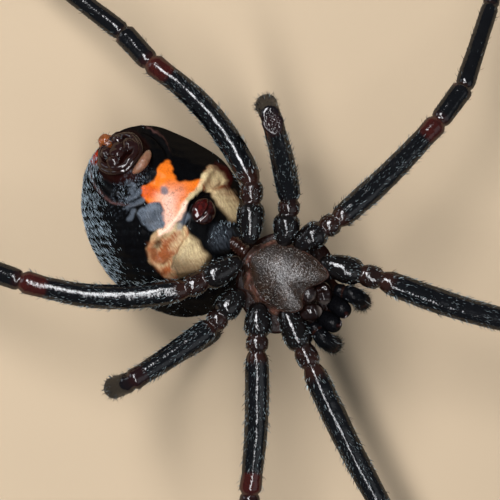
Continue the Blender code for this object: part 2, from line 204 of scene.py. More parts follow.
class SpiderHair(bpy.types.PropertyGroup):
    """How thick and long the hair is."""

    leg_density: bpy.props.IntProperty(
        name="Leg hairs", description="Hairs on each millimetre of leg", default=330, min=0
    )
    leg_length: length_property("Leg hair length", "Usual length on the legs", 0.15)
    abdomen_hairs: bpy.props.IntProperty(
        name="Abdomen hairs", description="Hairs on the abdomen", default=16000, min=0
    )
    abdomen_length: length_property("Abdomen hair length", "Usual length there", 0.12)
    width: length_property("Hair width", "Thickness of a hair at its root", 0.014)
    seed: bpy.props.IntProperty(name="Seed", description="Changes where hairs grow", default=7)


class SpiderSkin(bpy.types.PropertyGroup):
    """How finely the skins are meshed."""

    leg_step: length_property("Leg ring step", "Distance between the rings of a leg", 0.06)
    leg_sides: bpy.props.IntProperty(
        name="Leg sides", description="Faces round a leg", default=36, min=8
    )
    abdomen_rings: bpy.props.IntProperty(
        name="Abdomen rings", description="Rings from front to back", default=290, min=20
    )
    abdomen_sides: bpy.props.IntProperty(
        name="Abdomen sides", description="Faces round the abdomen", default=320, min=20
    )


class SpiderStage(bpy.types.PropertyGroup):
    """The camera and the floor."""

    distance: length_property("Camera distance", "From the lens to the underside", 150.0)
    view_width: length_property("View width", "Width of the picture at that distance", 16.667)
    floor_size: length_property("Floor size", "Side of the square floor", 900.0)


def settings():
    return bpy.context.scene.button_spider


def paint_colour(name):
    return np.array(getattr(settings().colours, name))


# Shapes in numpy, all in millimetres

def smooth(low, high, value):
    share = np.clip((value - low) / (high - low), 0.0, 1.0)
    return share * share * (3 - 2 * share)


def bell(value, width):
    return np.exp(-((value / width) ** 2))


def blur(values, reach):
    """Values along a line, averaged with a bell of this many steps. The two ends stay."""
    half = max(int(reach * 3), 1)
    kernel = bell(np.arange(-half, half + 1), reach)
    kernel /= kernel.sum()
    flat = values.reshape(len(values), -1)
    before = 2 * flat[0] - flat[half:0:-1]
    after = 2 * flat[-1] - flat[-2:-half - 2:-1]
    padded = np.vstack([before, flat, after])
    rows = [np.convolve(padded[:, i], kernel, "valid") for i in range(flat.shape[1])]
    return np.stack(rows, axis=1).reshape(values.shape)


def ripple(places, size, seed, waves=7):
    """Smooth noise of about -1 to 1 at these places, with bumps of this size."""
    draw = np.random.default_rng(seed)
    total = np.zeros(len(places))
    for _ in range(waves):
        way = draw.normal(size=places.shape[1])
        way *= draw.uniform(0.7, 1.4) * math.pi / size / np.linalg.norm(way)
        total += np.sin(places @ way + draw.uniform(0, 2 * math.pi))
    return total / math.sqrt(waves)


def unit(vectors):
    return vectors / np.maximum(np.linalg.norm(vectors, axis=-1, keepdims=True), 1e-12)


def ring_faces(count, sides):
    """Faces of a tube of rings, closed at both ends on two points that come after the rings."""
    along = np.arange(count - 1)[:, None] * sides
    here = np.arange(sides)[None, :]
    after = (here + 1) % sides
    quads = np.stack([along + here, along + after, along + sides + after, along + sides + here], -1)
    start = count * sides
    last = (count - 1) * sides
    first_cap = [(start, int(b), int(a)) for a, b in zip(here[0], after[0])]
    last_cap = [(start + 1, last + int(a), last + int(b)) for a, b in zip(here[0], after[0])]
    return quads.reshape(-1, 4).tolist() + first_cap + last_cap


def ring_shape(points, sides, colour, gloss):
    """A closed shape from the points of its rings, as (points, faces, paint, gloss).

    Colour and gloss are one value each, or one for each point. Each end closes on its middle.
    """
    rings = points.reshape(-1, sides, 3)
    count = len(rings) * sides
    paint = np.broadcast_to(np.asarray(colour, float), (count, 3))
    gloss = np.broadcast_to(np.asarray(gloss, float), (count,))
    points = np.vstack([rings.reshape(-1, 3), rings[0].mean(0), rings[-1].mean(0)])
    paint, gloss = (
        np.concatenate([layer, layer[:1], layer[-1:]]) for layer in (paint, gloss)
    )
    return points, ring_faces(len(rings), sides), paint, gloss


def ring_grid(rings, sides, margin):
    """Angles from pole to pole and round them for each point of a ball with open poles."""
    along = np.linspace(margin, math.pi - margin, rings)
    turn = np.arange(sides) * 2 * math.pi / sides
    return (grid.ravel() for grid in np.meshgrid(along, turn, indexing="ij"))


def frames_along(path, up=(0.0, 0.0, 1.0)):
    """Unit vectors ahead, sideways and up at each point, turned as little as can be."""
    ahead = unit(np.gradient(path, axis=0))
    ups = np.zeros_like(path)
    current = np.array(up, float)
    for i, way in enumerate(ahead):
        current = current - way * (current @ way)
        current /= np.linalg.norm(current)
        ups[i] = current
    return ahead, np.cross(ahead, ups), ups


def tube_rings(path, radii, sides, flat=1.0, up=(0.0, 0.0, 1.0)):
    """Rings round a path. A flat under 1 makes them lower than wide."""
    _, across, ups = frames_along(path, up)
    angle = np.arange(sides) * 2 * math.pi / sides
    wide = across[:, None, :] * np.cos(angle)[None, :, None]
    tall = ups[:, None, :] * np.sin(angle)[None, :, None] * flat
    return path[:, None, :] + (wide + tall) * np.asarray(radii)[:, None, None]


def spline(points, steps):
    """A smooth path or list of radii through these values, in steps between each two of them."""
    points = np.asarray(points, float)
    flat = points.reshape(len(points), -1)
    ends = np.vstack([2 * flat[0] - flat[1], flat, 2 * flat[-1] - flat[-2]])
    found = []
    for a, b, c, d in zip(ends, ends[1:], ends[2:], ends[3:]):
        for t in np.arange(steps) / steps:
            found.append(
                0.5 * (2 * b + (c - a) * t + (2 * a - 5 * b + 4 * c - d) * t ** 2
                       + (3 * b - a - 3 * c + d) * t ** 3)
            )
    found.append(flat[-1])
    return np.array(found).reshape((-1,) + points.shape[1:])


def closed_spline(points, steps):
    """A smooth loop through these points. Its last point is its first one again."""
    points = list(points)
    found = spline(points[-2:] + points + points[:2], steps)
    return found[2 * steps:(len(points) + 2) * steps + 1]


def signed_volume(points, faces):
    corners = np.array([face[:3] for face in faces])
    extra = np.array([(face[0], face[2], face[3]) for face in faces if len(face) == 4])
    corners = np.vstack([corners, extra]) if len(extra) else corners
    a, b, c = (points[corners[:, i]] for i in range(3))
    return float(np.einsum("ij,ij->i", a, np.cross(b, c)).sum()) / 6


def add_object(name, data):
    made = bpy.data.objects.new(name, data)
    bpy.context.scene.collection.objects.link(made)
    return made


def make_piece(name, shape, finish, nodes=(), uv=None):
    """A closed piece on the body, in the row frame, from a shape in millimetres.

    A shape is (points, faces, paint, gloss), with a colour and a roughness at each point, and uv
    is each point's place on a map.
    """
    points, faces, paint, gloss = shape
    points = np.array(points, float)
    points[:, 2] = np.maximum(points[:, 2], 0.0)
    if signed_volume(points - points.mean(0), faces) < 0:
        faces = [tuple(reversed(face)) for face in faces]
    mesh = bpy.data.meshes.new(name)
    mesh.from_pydata((points + OFFSET) * MM, [], faces)
    mesh.shade_smooth()
    colours = np.ones((len(points), 4))
    colours[:, :3] = paint
    for layer, kind, key, values in (
        ("paint", "FLOAT_COLOR", "color", colours), ("gloss", "FLOAT", "value", gloss),
    ):
        data = mesh.attributes.new(layer, kind, "POINT").data
        data.foreach_set(key, np.asarray(values, np.float32).ravel())
    if uv is not None:
        corners = np.zeros(len(mesh.loops), np.int32)
        mesh.loops.foreach_get("vertex_index", corners)
        layer = mesh.uv_layers.new(name="OFBake")
        layer.data.foreach_set("uv", uv[corners].astype(np.float32).ravel())
    piece = add_object(name, mesh)
    mesh.materials.append(finished(finish))
    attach(piece, "root")
    if nodes:
        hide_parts(*nodes)


# Materials

def add_node(tree, kind, inputs, **options):
    """A node of this kind with its options. Each input takes a value, or a socket to link from."""
    made = tree.nodes.new(kind)
    for key, value in options.items():
        setattr(made, key, value)
    for key, value in inputs.items():
        if isinstance(value, bpy.types.NodeSocket):
            tree.links.new(value, made.inputs[key])
        else:
            made.inputs[key].default_value = value
    return made


def start_material(name, sockets):
    material = bpy.data.materials.new(name)
    material.use_nodes = True
    tree = material.node_tree
    shader = tree.nodes["Principled BSDF"]
    for key, value in sockets.items():
        shader.inputs[key].default_value = value
    return material, tree, shader


def lacquer(ior, weight, roughness):
    """Sockets of a dark surface whose gloss comes from a thin coat: bright glints, dark rims."""
    return {"IOR": ior, "Specular IOR Level": 0.0, "Coat Weight": weight, "Coat IOR": 2.0,
            "Coat Roughness": roughness}


# Each finish as its shader's sockets, the (size, strength) of its mottle and the (size, depth) of
# its relief, sizes and depths in millimetres
FINISHES = {
    # Chitin tanned hard in thin plates: near black, a satin lacquer over fine scales. In life the
    # scales are too fine to show, so they are drawn coarser, 0.06 mm wide
    "tanned_chitin": (lacquer(1.56, 0.36, 0.1), (0.35, 0.25), (0.06, 0.0052)),
    # Stretched leathery skin of the abdomen: silky, finely wrinkled, duller than the legs. The
    # finest wrinkles are drawn coarser than in life, 0.045 mm wide, or they wouldn't show
    "leathery_skin": (lacquer(1.45, 0.04, 0.25), (0.06, 0.2), (0.045, 0.006)),
    # Thick chitin of the plates, pitted where hairs grow: brown, with a satin gloss
    "pitted_chitin": ({"IOR": 1.56, "Specular IOR Level": 0.5}, (0.08, 0.5), (0.045, 0.014)),
    # Chitin under dense black bristles: matt, with a dull sheen
    "bristly_chitin": (lacquer(1.5, 0.06, 0.2), (0.1, 0.3), (0.05, 0.01)),
    # Smooth chitin of the spinnerets and epigyne: dark red, glossy as if wet
    "polished_chitin": (lacquer(1.56, 0.4, 0.06), (0.15, 0.3), (0.12, 0.01)),
    # Soft skin between the plates: pale, creased, a little light passes through it
    "soft_cuticle": ({"IOR": 1.45, "Subsurface Weight": 0.25, "Subsurface Scale": 0.2 * MM},
                     (0.15, 0.3), (0.06, 0.02)),
    # An eye is a clear lens of chitin over a dark cup: black glass
    "clear_chitin_lens": ({"IOR": 1.6, "Coat Weight": 1.0, "Coat Roughness": 0.03},
                          (0.1, 0.1), (0.1, 0.0005)),
    # A hair is a hollow tube of chitin: dark, with a bright narrow gloss along it
    "hair_chitin": ({"IOR": 1.56, "Specular IOR Level": 0.35}, (0.3, 0.3), (0.02, 0.001)),
}


def finished(name):
    """The material of this finish: mottled colour, uneven gloss and a fine relief.

    Its paint and gloss come from the mesh.
    """
    if name in bpy.data.materials:
        return bpy.data.materials[name]
    sockets, (blotch, strength), (grain, depth) = FINISHES[name]
    material, tree, shader = start_material(name, sockets)
    place = add_node(tree, "ShaderNodeTexCoord", {}).outputs["Object"]
    paint = add_node(tree, "ShaderNodeAttribute", {}, attribute_name="paint")
    gloss = add_node(tree, "ShaderNodeAttribute", {}, attribute_name="gloss")
    patches = add_node(tree, "ShaderNodeTexNoise", {
        "Vector": place, "Scale": 1 / (blotch * MM), "Detail": 4.0, "Roughness": 0.6})
    shade, worn = (
        add_node(tree, "ShaderNodeMapRange", {
            "Value": patches.outputs["Fac"], "From Min": 0.3, "From Max": 0.7,
            "To Min": low, "To Max": high}).outputs["Result"]
        for low, high in ((1 - strength, 1 + strength), (-0.05, 0.08))
    )
    colour = add_node(tree, "ShaderNodeVectorMath", {0: paint.outputs["Color"], "Scale": shade},
                      operation="SCALE")
    rough = add_node(tree, "ShaderNodeMath", {0: gloss.outputs["Fac"], 1: worn},
                     operation="ADD", use_clamp=True)
    cells = add_node(tree, "ShaderNodeTexVoronoi", {"Vector": place, "Scale": 1 / (grain * MM)},
                     feature="SMOOTH_F1")
    fine = add_node(tree, "ShaderNodeTexNoise", {
        "Vector": place, "Scale": 0.6 / (grain * MM), "Detail": 3.0})
    height = add_node(tree, "ShaderNodeMath", {
        0: cells.outputs["Distance"], 1: fine.outputs["Fac"]}, operation="ADD")
    relief = add_node(tree, "ShaderNodeBump", {
        "Strength": 1.0, "Distance": depth * MM, "Height": height.outputs[0]})
    for socket, source in (
        ("Base Color", colour.outputs[0]), ("Roughness", rough.outputs[0]),
        ("Normal", relief.outputs["Normal"]), ("Coat Normal", relief.outputs["Normal"]),
    ):
        tree.links.new(source, shader.inputs[socket])
    return material


class Paint:
    """A colour and a roughness at each point, laid on coat by coat."""

    def __init__(self, count, name, gloss):
        self.colour = np.tile(paint_colour(name), (count, 1))
        self.gloss = np.full(count, gloss)

    def lay(self, name, mask, roughness=None, shade=1.0):
        mask = np.clip(mask, 0.0, 1.0)
        self.colour += (paint_colour(name) * shade - self.colour) * mask[:, None]
        if roughness is not None:
            self.gloss += (roughness - self.gloss) * mask


# Hair

def grow_hair(name, roots, normals, lies, lengths, widths, lift, colours, uv):
    """One piece of tapered hairs that leave the skin at this lift and bend down to their lie.

    Each value has one row for each hair, and uv is the root's place on the skin's map.
    """
    normals = unit(normals)
    lies = unit(lies - normals * np.einsum("ij,ij->i", lies, normals)[:, None])
    sides = np.cross(normals, lies)
    spine = roots - normals * ROOT_DEPTH
    points = []
    for share, width in ((0.0, 1.0), (0.5, 0.8)):
        rise = lift[:, None] * (1 - 0.6 * share)
        way = lies * np.cos(rise) + normals * np.sin(rise)
        out = np.cross(sides, way)
        for corner in range(3):
            angle = 2 * math.pi * corner / 3 + math.pi / 2
            reach = sides * math.cos(angle) - out * math.sin(angle)
            points.append(spine + reach * (widths * width / 2)[:, None])
        spine = spine + way * lengths[:, None] / 2
    points.append(spine)
    per_hair = len(points)
    places = np.stack(points, axis=1).reshape(-1, 3)
    starts = (np.arange(len(roots)) * per_hair)[:, None]
    faces = []
    for face in ((0, 1, 4, 3), (1, 2, 5, 4), (2, 0, 3, 5), (3, 4, 6), (4, 5, 6), (5, 3, 6),
                 (2, 1, 0)):
        faces += (starts + np.array(face)).tolist()
    patch = np.array([(0, 0), (1, 0), (0, 1), (1, 2), (2, 2), (0, 2), (1, 3)]) * HAIR_PATCH
    shape = places, faces, np.repeat(colours, per_hair, axis=0), np.full(len(places), 0.2)
    make_piece(name, shape, "hair_chitin", uv=(uv[:, None] + patch).reshape(-1, 2))


def hair_colours(count, draw, pale_share, palest=0.8):
    """A colour for each hair: dark, and paler for this share, one value or one for each hair."""
    dark, pale = paint_colour("hair"), paint_colour("pale_hair")
    chosen = draw.uniform(size=count) < pale_share
    mix = np.where(chosen, draw.uniform(0.25, 1.0, count) * palest, 0.0)
    shade = draw.uniform(0.6, 1.5, count)
    return (dark + (pale - dark) * mix[:, None]) * shade[:, None]


def map_place(along, around, reach=0.95):
    """Places on a skin's map, from the share of the way along it and the angle round it."""
    return np.stack([0.02 + reach * along, 0.02 + reach * around / 2 / math.pi], axis=1)


# Legs

def leg_joints(leg):
    """The seven joint places of a leg, from where its coxa begins to its tip."""
    side = 1 if leg[0] == "r" else -1
    (hip_x, hip_y), bearings, heights, _ = LEGS[leg]
    spans = []
    for length, bearing, rise in zip(LEG_LENGTHS[int(leg[1])], bearings, np.diff(heights)):
        angle, flat = math.radians(bearing), math.sqrt(length ** 2 - rise ** 2)
        spans.append(np.array([side * math.sin(angle) * flat, -math.cos(angle) * flat, rise]))
    hip = np.array([hip_x, hip_y, heights[1]])
    joints = [hip - spans[0], hip]
    for span in spans[1:]:
        joints.append(joints[-1] + span)
    return joints


def leg_stations(leg):
    """Places, radii, stretch numbers and shares along a leg, one row for each ring."""
    step = settings().skin.leg_step / MM
    outward = 1 if leg[0] == "r" else -1
    joints = leg_joints(leg)
    joints[0] = joints[0] - unit(joints[1] - joints[0]) * 0.15
    rows = []
    for i, (start, end) in enumerate(zip(joints, joints[1:])):
        count = int(round(np.linalg.norm(end - start) / step))
        t = np.arange(count + (i == 5)) / count
        places = start + (end - start) * t[:, None]
        if i == 1:
            across = unit(np.cross(end - start, (0.0, 0.0, 1.0))) * outward
            places = places + across * (np.sin(math.pi * t) * LEGS[leg][3])[:, None]
        thick = THICKNESS[int(leg[1])] if i < 4 else 1.0
        radii = np.interp(t, *np.transpose(LEG_OUTLINES[i])) * thick
        rows.append((places, radii, np.full(len(t), i), t))
    path, radii, stretch, shares = (np.concatenate(column) for column in zip(*rows))
    return blur(path, 0.15 / step), blur(radii, 0.035 / step), stretch, shares


def leg_paint(leg, where, share, height, places):
    """Colour and roughness at each point of a leg. Height is 1 on the side that faces up."""
    rosy = 0.25 if leg[1] == "3" else 1.0
    paint = Paint(len(where), "cuticle", 0.3)
    cloud = ripple(places, 0.35, 3) * 0.3
    paint.lay("coxa", (where == 0) * 1.0)
    paint.lay("trochanter", (where == 0) * smooth(0.66, 0.72, share) * (0.6 + cloud), 0.26)
    paint.lay("trochanter", (where == 1) * smooth(0.09, 0.03, share) * 0.9, 0.26)
    oval = np.sqrt(((share - 0.915) / 0.085) ** 2 + ((1 - height) / 0.75) ** 2)
    paint.lay("ruddy", (where == 1) * smooth(1.1, 0.85, oval) * rosy, 0.14)
    paint.lay("ruddy", (where == 1) * smooth(0.93, 0.97, share) * 0.5 * rosy, 0.2)
    paint.lay("ruddy", (where == 2) * smooth(0.2, 0.0, share) * 0.4 * rosy, 0.2)
    spots = (where == 2) * smooth(0.8, 0.9, share) * bell(np.abs(height) - 0.35, 0.3)
    paint.lay("membrane", spots * 0.35 * rosy, 0.25)
    necks = ((0, 0.672, 0.025), (0, 1.0, 0.02), (1, 0.0, 0.006), (1, 1.0, 0.008), (2, 0.0, 0.035),
             (2, 1.0, 0.04), (3, 0.0, 0.012), (3, 1.0, 0.012), (4, 0.0, 0.008))
    for which, middle, width in necks:
        tone = "membrane" if (which, middle) == (1, 1.0) else "trochanter"
        mask = (where == which) * bell(share - middle, width) * (0.6 + cloud) * rosy
        paint.lay(tone, mask, 0.35)
    return paint.colour, paint.gloss


def make_leg(leg):
    sides = settings().skin.leg_sides
    path, radii, stretch, shares = leg_stations(leg)
    flat = tube_rings(path, radii, sides).reshape(-1, 3)
    where, share = np.repeat(stretch, sides), np.repeat(shares, sides)
    height = np.tile(np.sin(np.arange(sides) * 2 * math.pi / sides), len(path))
    # Uneven plates, small knobs beside the knee, and fine rings on the soft necks
    swell = 1 + 0.012 * ripple(flat, 0.5, 11) + 0.008 * ripple(flat, 0.16, 12)
    swell += 0.07 * ((where == 2) * bell(share - 0.93, 0.05) * bell(np.abs(height), 0.45))
    swell += 0.03 * ((where == 1) * bell(share - 0.955, 0.012))
    middle = np.repeat(path, sides, axis=0)
    flat = middle + (flat - middle) * swell[:, None]
    flat[:, 2] = np.minimum(flat[:, 2], TALLEST)
    shape = ring_shape(flat, sides, *leg_paint(leg, where, share, height, flat))
    nodes = [f"leg_{leg}_{part}" for part in ("coxa", "femur", "patella", "tibia", "foot")]
    make_piece(f"leg_{leg}_skin", shape, "tanned_chitin", nodes)
    grow_leg_hair(leg, path, radii, stretch, shares)


def grow_leg_hair(leg, path, radii, stretch, shares):
    """Short hair that points to the tip, none on the soft necks or the smooth femur end."""
    hair, third = settings().hair, leg[1] == "3"
    draw = np.random.default_rng(hair.seed + sum(map(ord, leg)))
    lengths = np.linalg.norm(np.diff(path, axis=0), axis=1)
    travelled = np.concatenate([[0.0], np.cumsum(lengths)])
    count = int(travelled[-1] * hair.leg_density)
    along = draw.uniform(0.15, travelled[-1] - 0.02, count)
    clock = draw.uniform(0, 2 * math.pi, count)
    spot = np.interp(along, travelled, np.arange(len(path)))
    low = np.clip(spot.astype(int), 0, len(path) - 2)

    def between(values):
        return values[low] + (values[low + 1] - values[low]) * (spot - low)[:, None]

    ahead, across, ups = (between(ways) for ways in frames_along(path))
    out = across * np.cos(clock)[:, None] + ups * np.sin(clock)[:, None]
    roots = between(path) + out * between(radii[:, None])
    normals = unit(out - ahead * np.gradient(radii, travelled)[low][:, None])
    where, share, height = stretch[low], shares[low], np.sin(clock)
    bare = (where == 1) & (share > 0.83) & (height > 0.2)
    bare |= (where == 1) & ((share < 0.02) | (share > 0.965))
    bare |= (where == 0) & (np.abs(share - 0.68) < 0.03)
    bare |= (where == 2) & ((share < 0.1) | (share > 0.96))
    bare |= (where > 1) & (height > 0.1) & (draw.uniform(size=count) < (0.0 if third else 0.6))
    bare |= roots[:, 2] < 0.03
    roots, normals, where, share, clock, along, height, ahead, out = (
        values[~bare]
        for values in (roots, normals, where, share, clock, along, height, ahead, out)
    )
    count = len(roots)
    lies = ahead + np.cross(out, ahead) * draw.normal(0, 0.16, count)[:, None]
    usual = hair.leg_length / MM * np.array([0.55, 0.9, 1.0, 1.0, 0.85, 0.75])[where]
    lengths = usual * draw.uniform(0.7, 1.25, count)
    widths = hair.width / MM * np.where(where == 1, 1.2, 1.0) * draw.uniform(0.8, 1.2, count)
    near_body = (where == 0) | ((where == 1) & (share < 0.12))
    knee = third & (((where == 2) & (share > 0.5)) | ((where == 3) & (share < 0.2)))
    edge = (where < 2) & (np.abs(height) < 0.4)
    lift = draw.uniform(6, 20, count) + 16 * (where == 0)
    chance = np.select([knee, edge, near_body], [0.5, 0.22, 0.16], 0.05)
    stout = draw.uniform(size=count) < chance
    lengths = np.where(stout, lengths * 1.4, lengths)
    widths = np.where(stout, widths * 1.25, widths)
    lift = np.radians(np.where(stout, draw.uniform(32, 55, count), lift))
    pale_share = np.where(near_body, 0.5, 0.65 * (where == 1) + 0.15)
    colours = hair_colours(count, draw, pale_share, np.where(near_body, 0.9, 0.5))
    grow_hair(f"leg_{leg}_hair", roots, normals, lies, lengths, widths, lift,
              colours * (0.9, 1.0, 1.0), map_place(along / travelled[-1], clock))


def make_claws():
    """Two curved claws at the tip of each leg."""
    for leg in LEGS:
        path = leg_stations(leg)[0]
        tip, (way, side, up) = path[-1], (ways[-1] for ways in frames_along(path))
        shapes = []
        for hand in (-1, 1):
            start = tip - way * 0.06 + side * hand * 0.035
            bent = [start, start + way * 0.08 + up * 0.03, start + way * 0.16 + up * 0.02,
                    start + way * 0.2 - up * 0.03, start + way * 0.21 - up * 0.09]
            claw = spline(bent, 5)
            shapes.append(tube_shape(claw, np.linspace(0.032, 0.006, len(claw)),
                                     paint_colour("trochanter"), 0.18, 12))
        make_piece(f"claws_{leg}", joined(shapes), "polished_chitin")


# Abdomen

def turned(points, angle):
    """Points turned about the upright axis."""
    c, s = math.cos(angle), math.sin(angle)
    x, y = points[..., 0], points[..., 1]
    return np.stack([c * x - s * y, s * x + c * y, points[..., 2]], axis=-1)


def egg_place(along, around):
    """The plain egg. Along runs from its front pole to its back one, around is up at 90 degrees."""
    a, b, c = ABDOMEN_HALF
    local = np.stack([
        a * np.sin(along) * np.cos(around), -b * np.cos(along), c * np.sin(along) * np.sin(around)
    ], axis=-1)
    normal = unit(local / np.array([a * a, b * b, c * c]))
    places = turned(local, ABDOMEN_YAW) + np.array(ABDOMEN_MIDDLE)
    distance = np.linalg.norm(places - np.array(STALK), axis=-1)
    places[..., 1] += 0.5 * bell(distance, 0.85)
    return places, turned(normal, ABDOMEN_YAW)


def belly_place(x, y):
    """The plain egg's underside at this place, and its normal."""
    flat = turned(np.array([x - ABDOMEN_MIDDLE[0], y - ABDOMEN_MIDDLE[1], 0.0]), -ABDOMEN_YAW)
    a, b, c = ABDOMEN_HALF
    height = c * math.sqrt(max(1 - (flat[0] / a) ** 2 - (flat[1] / b) ** 2, 0.0))
    normal = unit(np.array([flat[0] / a ** 2, flat[1] / b ** 2, height / c ** 2]))
    return np.array([x, y, ABDOMEN_MIDDLE[2] + height]), turned(normal, ABDOMEN_YAW)


def oval(x, y, cx, cy, half_a, half_b, degrees=0.0):
    """1 on the edge of an oval, less inside. Its first half-axis is turned by degrees from +X."""
    angle = math.radians(degrees)
    dx, dy = x - cx, y - cy
    u = dx * math.cos(angle) + dy * math.sin(angle)
    v = -dx * math.sin(angle) + dy * math.cos(angle)
    return np.sqrt((u / half_a) ** 2 + (v / half_b) ** 2)


def line_distance(x, y, path):
    """Distance to a line through these places."""
    best = np.full(len(x), 1e9)
    for (ax, ay), (bx, by) in zip(path, path[1:]):
        dx, dy = bx - ax, by - ay
        t = np.clip(((x - ax) * dx + (y - ay) * dy) / (dx * dx + dy * dy), 0.0, 1.0)
        best = np.minimum(best, np.hypot(x - ax - t * dx, y - ay - t * dy))
    return best


def region(x, y, outline, soft):
    """1 inside a smooth outline through these points and 0 outside, with an edge this soft."""
    ring = closed_spline(outline, 5)
    distance = line_distance(x, y, ring)
    inside = np.zeros(len(x), bool)
    for (ax, ay), (bx, by) in zip(ring, ring[1:]):
        if ay != by:
            inside ^= ((ay > y) != (by > y)) & (x < ax + (y - ay) * (bx - ax) / (by - ay))
    return smooth(-soft, soft, np.where(inside, distance, -distance))


# Outlines of the marks on the belly, and lines along its folds
LEFT_COVER = (
    (-0.48, 3.53), (-0.54, 3.21), (-0.64, 2.82), (-0.73, 2.52), (-1, 2.46), (-1.26, 2.48),
    (-1.57, 2.76), (-1.87, 3.04), (-1.91, 3.33), (-1.6, 3.46), (-1.21, 3.48), (-0.84, 3.53),
)
RIGHT_COVER = (
    (1.22, 3.63), (1.53, 3.47), (1.56, 3.13), (1.41, 2.75), (1.14, 2.49), (0.84, 2.4), (0.71, 2.6),
    (0.8, 2.94), (0.88, 3.24), (0.98, 3.5),
)
LEFT_FOLD = (
    (-0.49, 4.08), (-0.85, 4.2), (-1.21, 4.44), (-1.55, 4.42), (-1.86, 4.21), (-1.98, 3.93),
    (-2.02, 3.62), (-2.11, 3.4), (-2.03, 3.09), (-1.83, 3.03), (-1.72, 3.34), (-1.31, 3.45),
    (-0.85, 3.48), (-0.46, 3.5), (-0.35, 3.82),
)
RIGHT_FOLD = (
    (1.1, 4.11), (1.51, 4.22), (1.8, 4.26), (1.95, 4.03), (1.92, 3.61), (1.7, 3.34), (1.45, 3.41),
    (1.17, 3.59), (1.04, 3.78), (0.97, 3.94),
)
MARK = (
    (1.2, 5.46), (1.01, 5.09), (0.82, 4.76), (0.99, 4.39), (1.32, 4.13), (1.02, 4.05),
    (0.63, 4.15), (0.2, 4.14), (-0.31, 4.12), (-0.76, 4.19), (-0.53, 4.45), (-0.26, 4.64),
    (-0.18, 4.89), (-0.35, 5.14), (-0.3, 5.49), (-0.06, 5.61), (0.36, 5.45), (0.77, 5.57),
)
MARK_MIDDLE = (
    (0.53, 4.96), (0.8, 4.38), (0.38, 4.22), (-0.11, 4.18), (-0.58, 4.22), (-0.39, 4.59),
    (0.02, 4.83),
)
SLATE = (
    (-0.48, 5.21), (-0.24, 4.97), (-0.22, 4.7), (-0.47, 4.42), (-0.73, 4.32), (-1.01, 4.45),
    (-1.11, 4.71), (-1.04, 5.04), (-0.83, 5.26),
)
SLATE_STRIPES = (
    ((-0.68, 5.8), (-0.42, 5.68), (-0.2, 5.64)),
    ((-0.92, 5.64), (-0.59, 5.5), (-0.4, 5.42)),
    ((-1.16, 5.4), (-0.88, 5.39)),
    ((-0.1, 6.15), (-0.13, 5.89), (-0.38, 5.84)),
)
FOLD_LINE = (
    (-2, 3.59), (-1.92, 4.01), (-1.6, 4.3), (-1.12, 4.31), (-0.74, 4.16), (-0.27, 4.11),
    (0.21, 4.11), (0.59, 4.09), (1.04, 4.02), (1.44, 4.09), (1.81, 4.01), (1.95, 3.67),
)
FOLD_GROOVE = (
    (-1.65, 3.31), (-1.24, 3.42), (-0.71, 3.46), (-0.39, 3.71), (0.05, 3.88), (0.4, 3.96),
    (0.75, 3.91), (1.01, 3.76), (1.22, 3.63), (1.56, 3.49),
)
# Crest of the fold before the orange mark, where a painted highlight runs
FOLD_HIGHLIGHT_BAND = (
    (1.47, 4.15), (1.02, 4.05), (0.62, 4.11), (0.26, 4.1), (-0.2, 4.08), (-0.6, 4.13),
    (-0.96, 4.25),
)
LOBE_RIM = (
    (-1.09, 4.32), (-1.46, 4.4), (-1.76, 4.19), (-1.9, 3.86), (-2.01, 3.55), (-2.01, 3.19),
)
LOBE_CORE = ((-1.62, 4.21), (-1.78, 3.98), (-1.72, 3.7), (-1.4, 3.59))
# Lines of painted shade over the left and the right lung cover
COVER_SHADES = (
    ((-1.71, 3.15), (-1.35, 2.74), (-1.08, 2.45)),
    ((1.55, 3.32), (1.55, 2.84)),
)
LEFT_ARM = ((-0.18, 5.49), (0, 5.33))
PINK_LINE = ((0.03, 4.75), (-0.27, 4.47), (-0.56, 4.2))
SILVER_RIDGE = ((0.05, 3.88), (-0.22, 3.86), (-0.49, 3.84))
LOBE_PIT = (-1.34, 4.16)
GREY_SPOT = (0.27, 4.99)
DARK_LOBE = ((1.94, 3.99), (2.03, 3.68), (1.84, 3.36), (1.55, 3.32))


def belly_relief(x, y, up):
    """How far the underside stands above the plain egg. Up is 1 where the skin faces up."""
    spin_x, spin_y = SPINNERETS
    ring_x, ring_y, ring_radius = RING_FOLD
    from_spin = np.hypot(x - spin_x, y - spin_y)
    from_ring = np.hypot(x - ring_x, y - ring_y) - ring_radius
    flat = np.stack([x, y], axis=1)
    rear = smooth(5.2, 5.7, y)
    height = 0.2 * bell(oval(x, y, *EPIGYNE, 0.5, 0.5), 1.0)
    height += 0.4 * smooth(1.25, 0.3, oval(x, y, 0.05, 2.38, 0.55, 0.5))
    height += 0.12 * region(x, y, LEFT_COVER, 0.14) + 0.12 * region(x, y, RIGHT_COVER, 0.14)
    height += 0.13 * bell(line_distance(x, y, FOLD_LINE), 0.13)
    height -= 0.1 * bell(line_distance(x, y, FOLD_GROOVE), 0.06)
    height += 0.08 * bell(line_distance(x, y, LOBE_CORE), 0.1)
    height += 0.07 * bell(line_distance(x, y, DARK_LOBE), 0.12)
    for stripe in SLATE_STRIPES:
        height += 0.05 * bell(line_distance(x, y, stripe), 0.09)
    height += 0.2 * smooth(0.95, 0.5, from_spin) - 0.07 * bell(from_spin - 0.98, 0.1)
    height += rear * (0.07 * bell(from_ring, 0.055) - 0.07 * bell(from_ring + 0.12, 0.07))
    slate = region(x, y, SLATE, 0.08)
    waves = np.sin(2 * math.pi * (x + y) / 0.1 + 2 * ripple(flat, 0.3, 21))
    height += slate * (0.05 + 0.016 * waves)
    wrinkled = smooth(1.2, 0.7, oval(x, y, -0.25, 5.95, 0.85, 0.42))
    height += wrinkled * 0.035 * ripple(flat, 0.13, 22)
    height += 0.03 * ripple(flat, 0.6, 23) + 0.012 * ripple(flat, 0.2, 24)
    return height * smooth(-0.05, 0.25, up) - 0.2 * bell(np.hypot(x - 2.4, y - 5.5), 1.3)


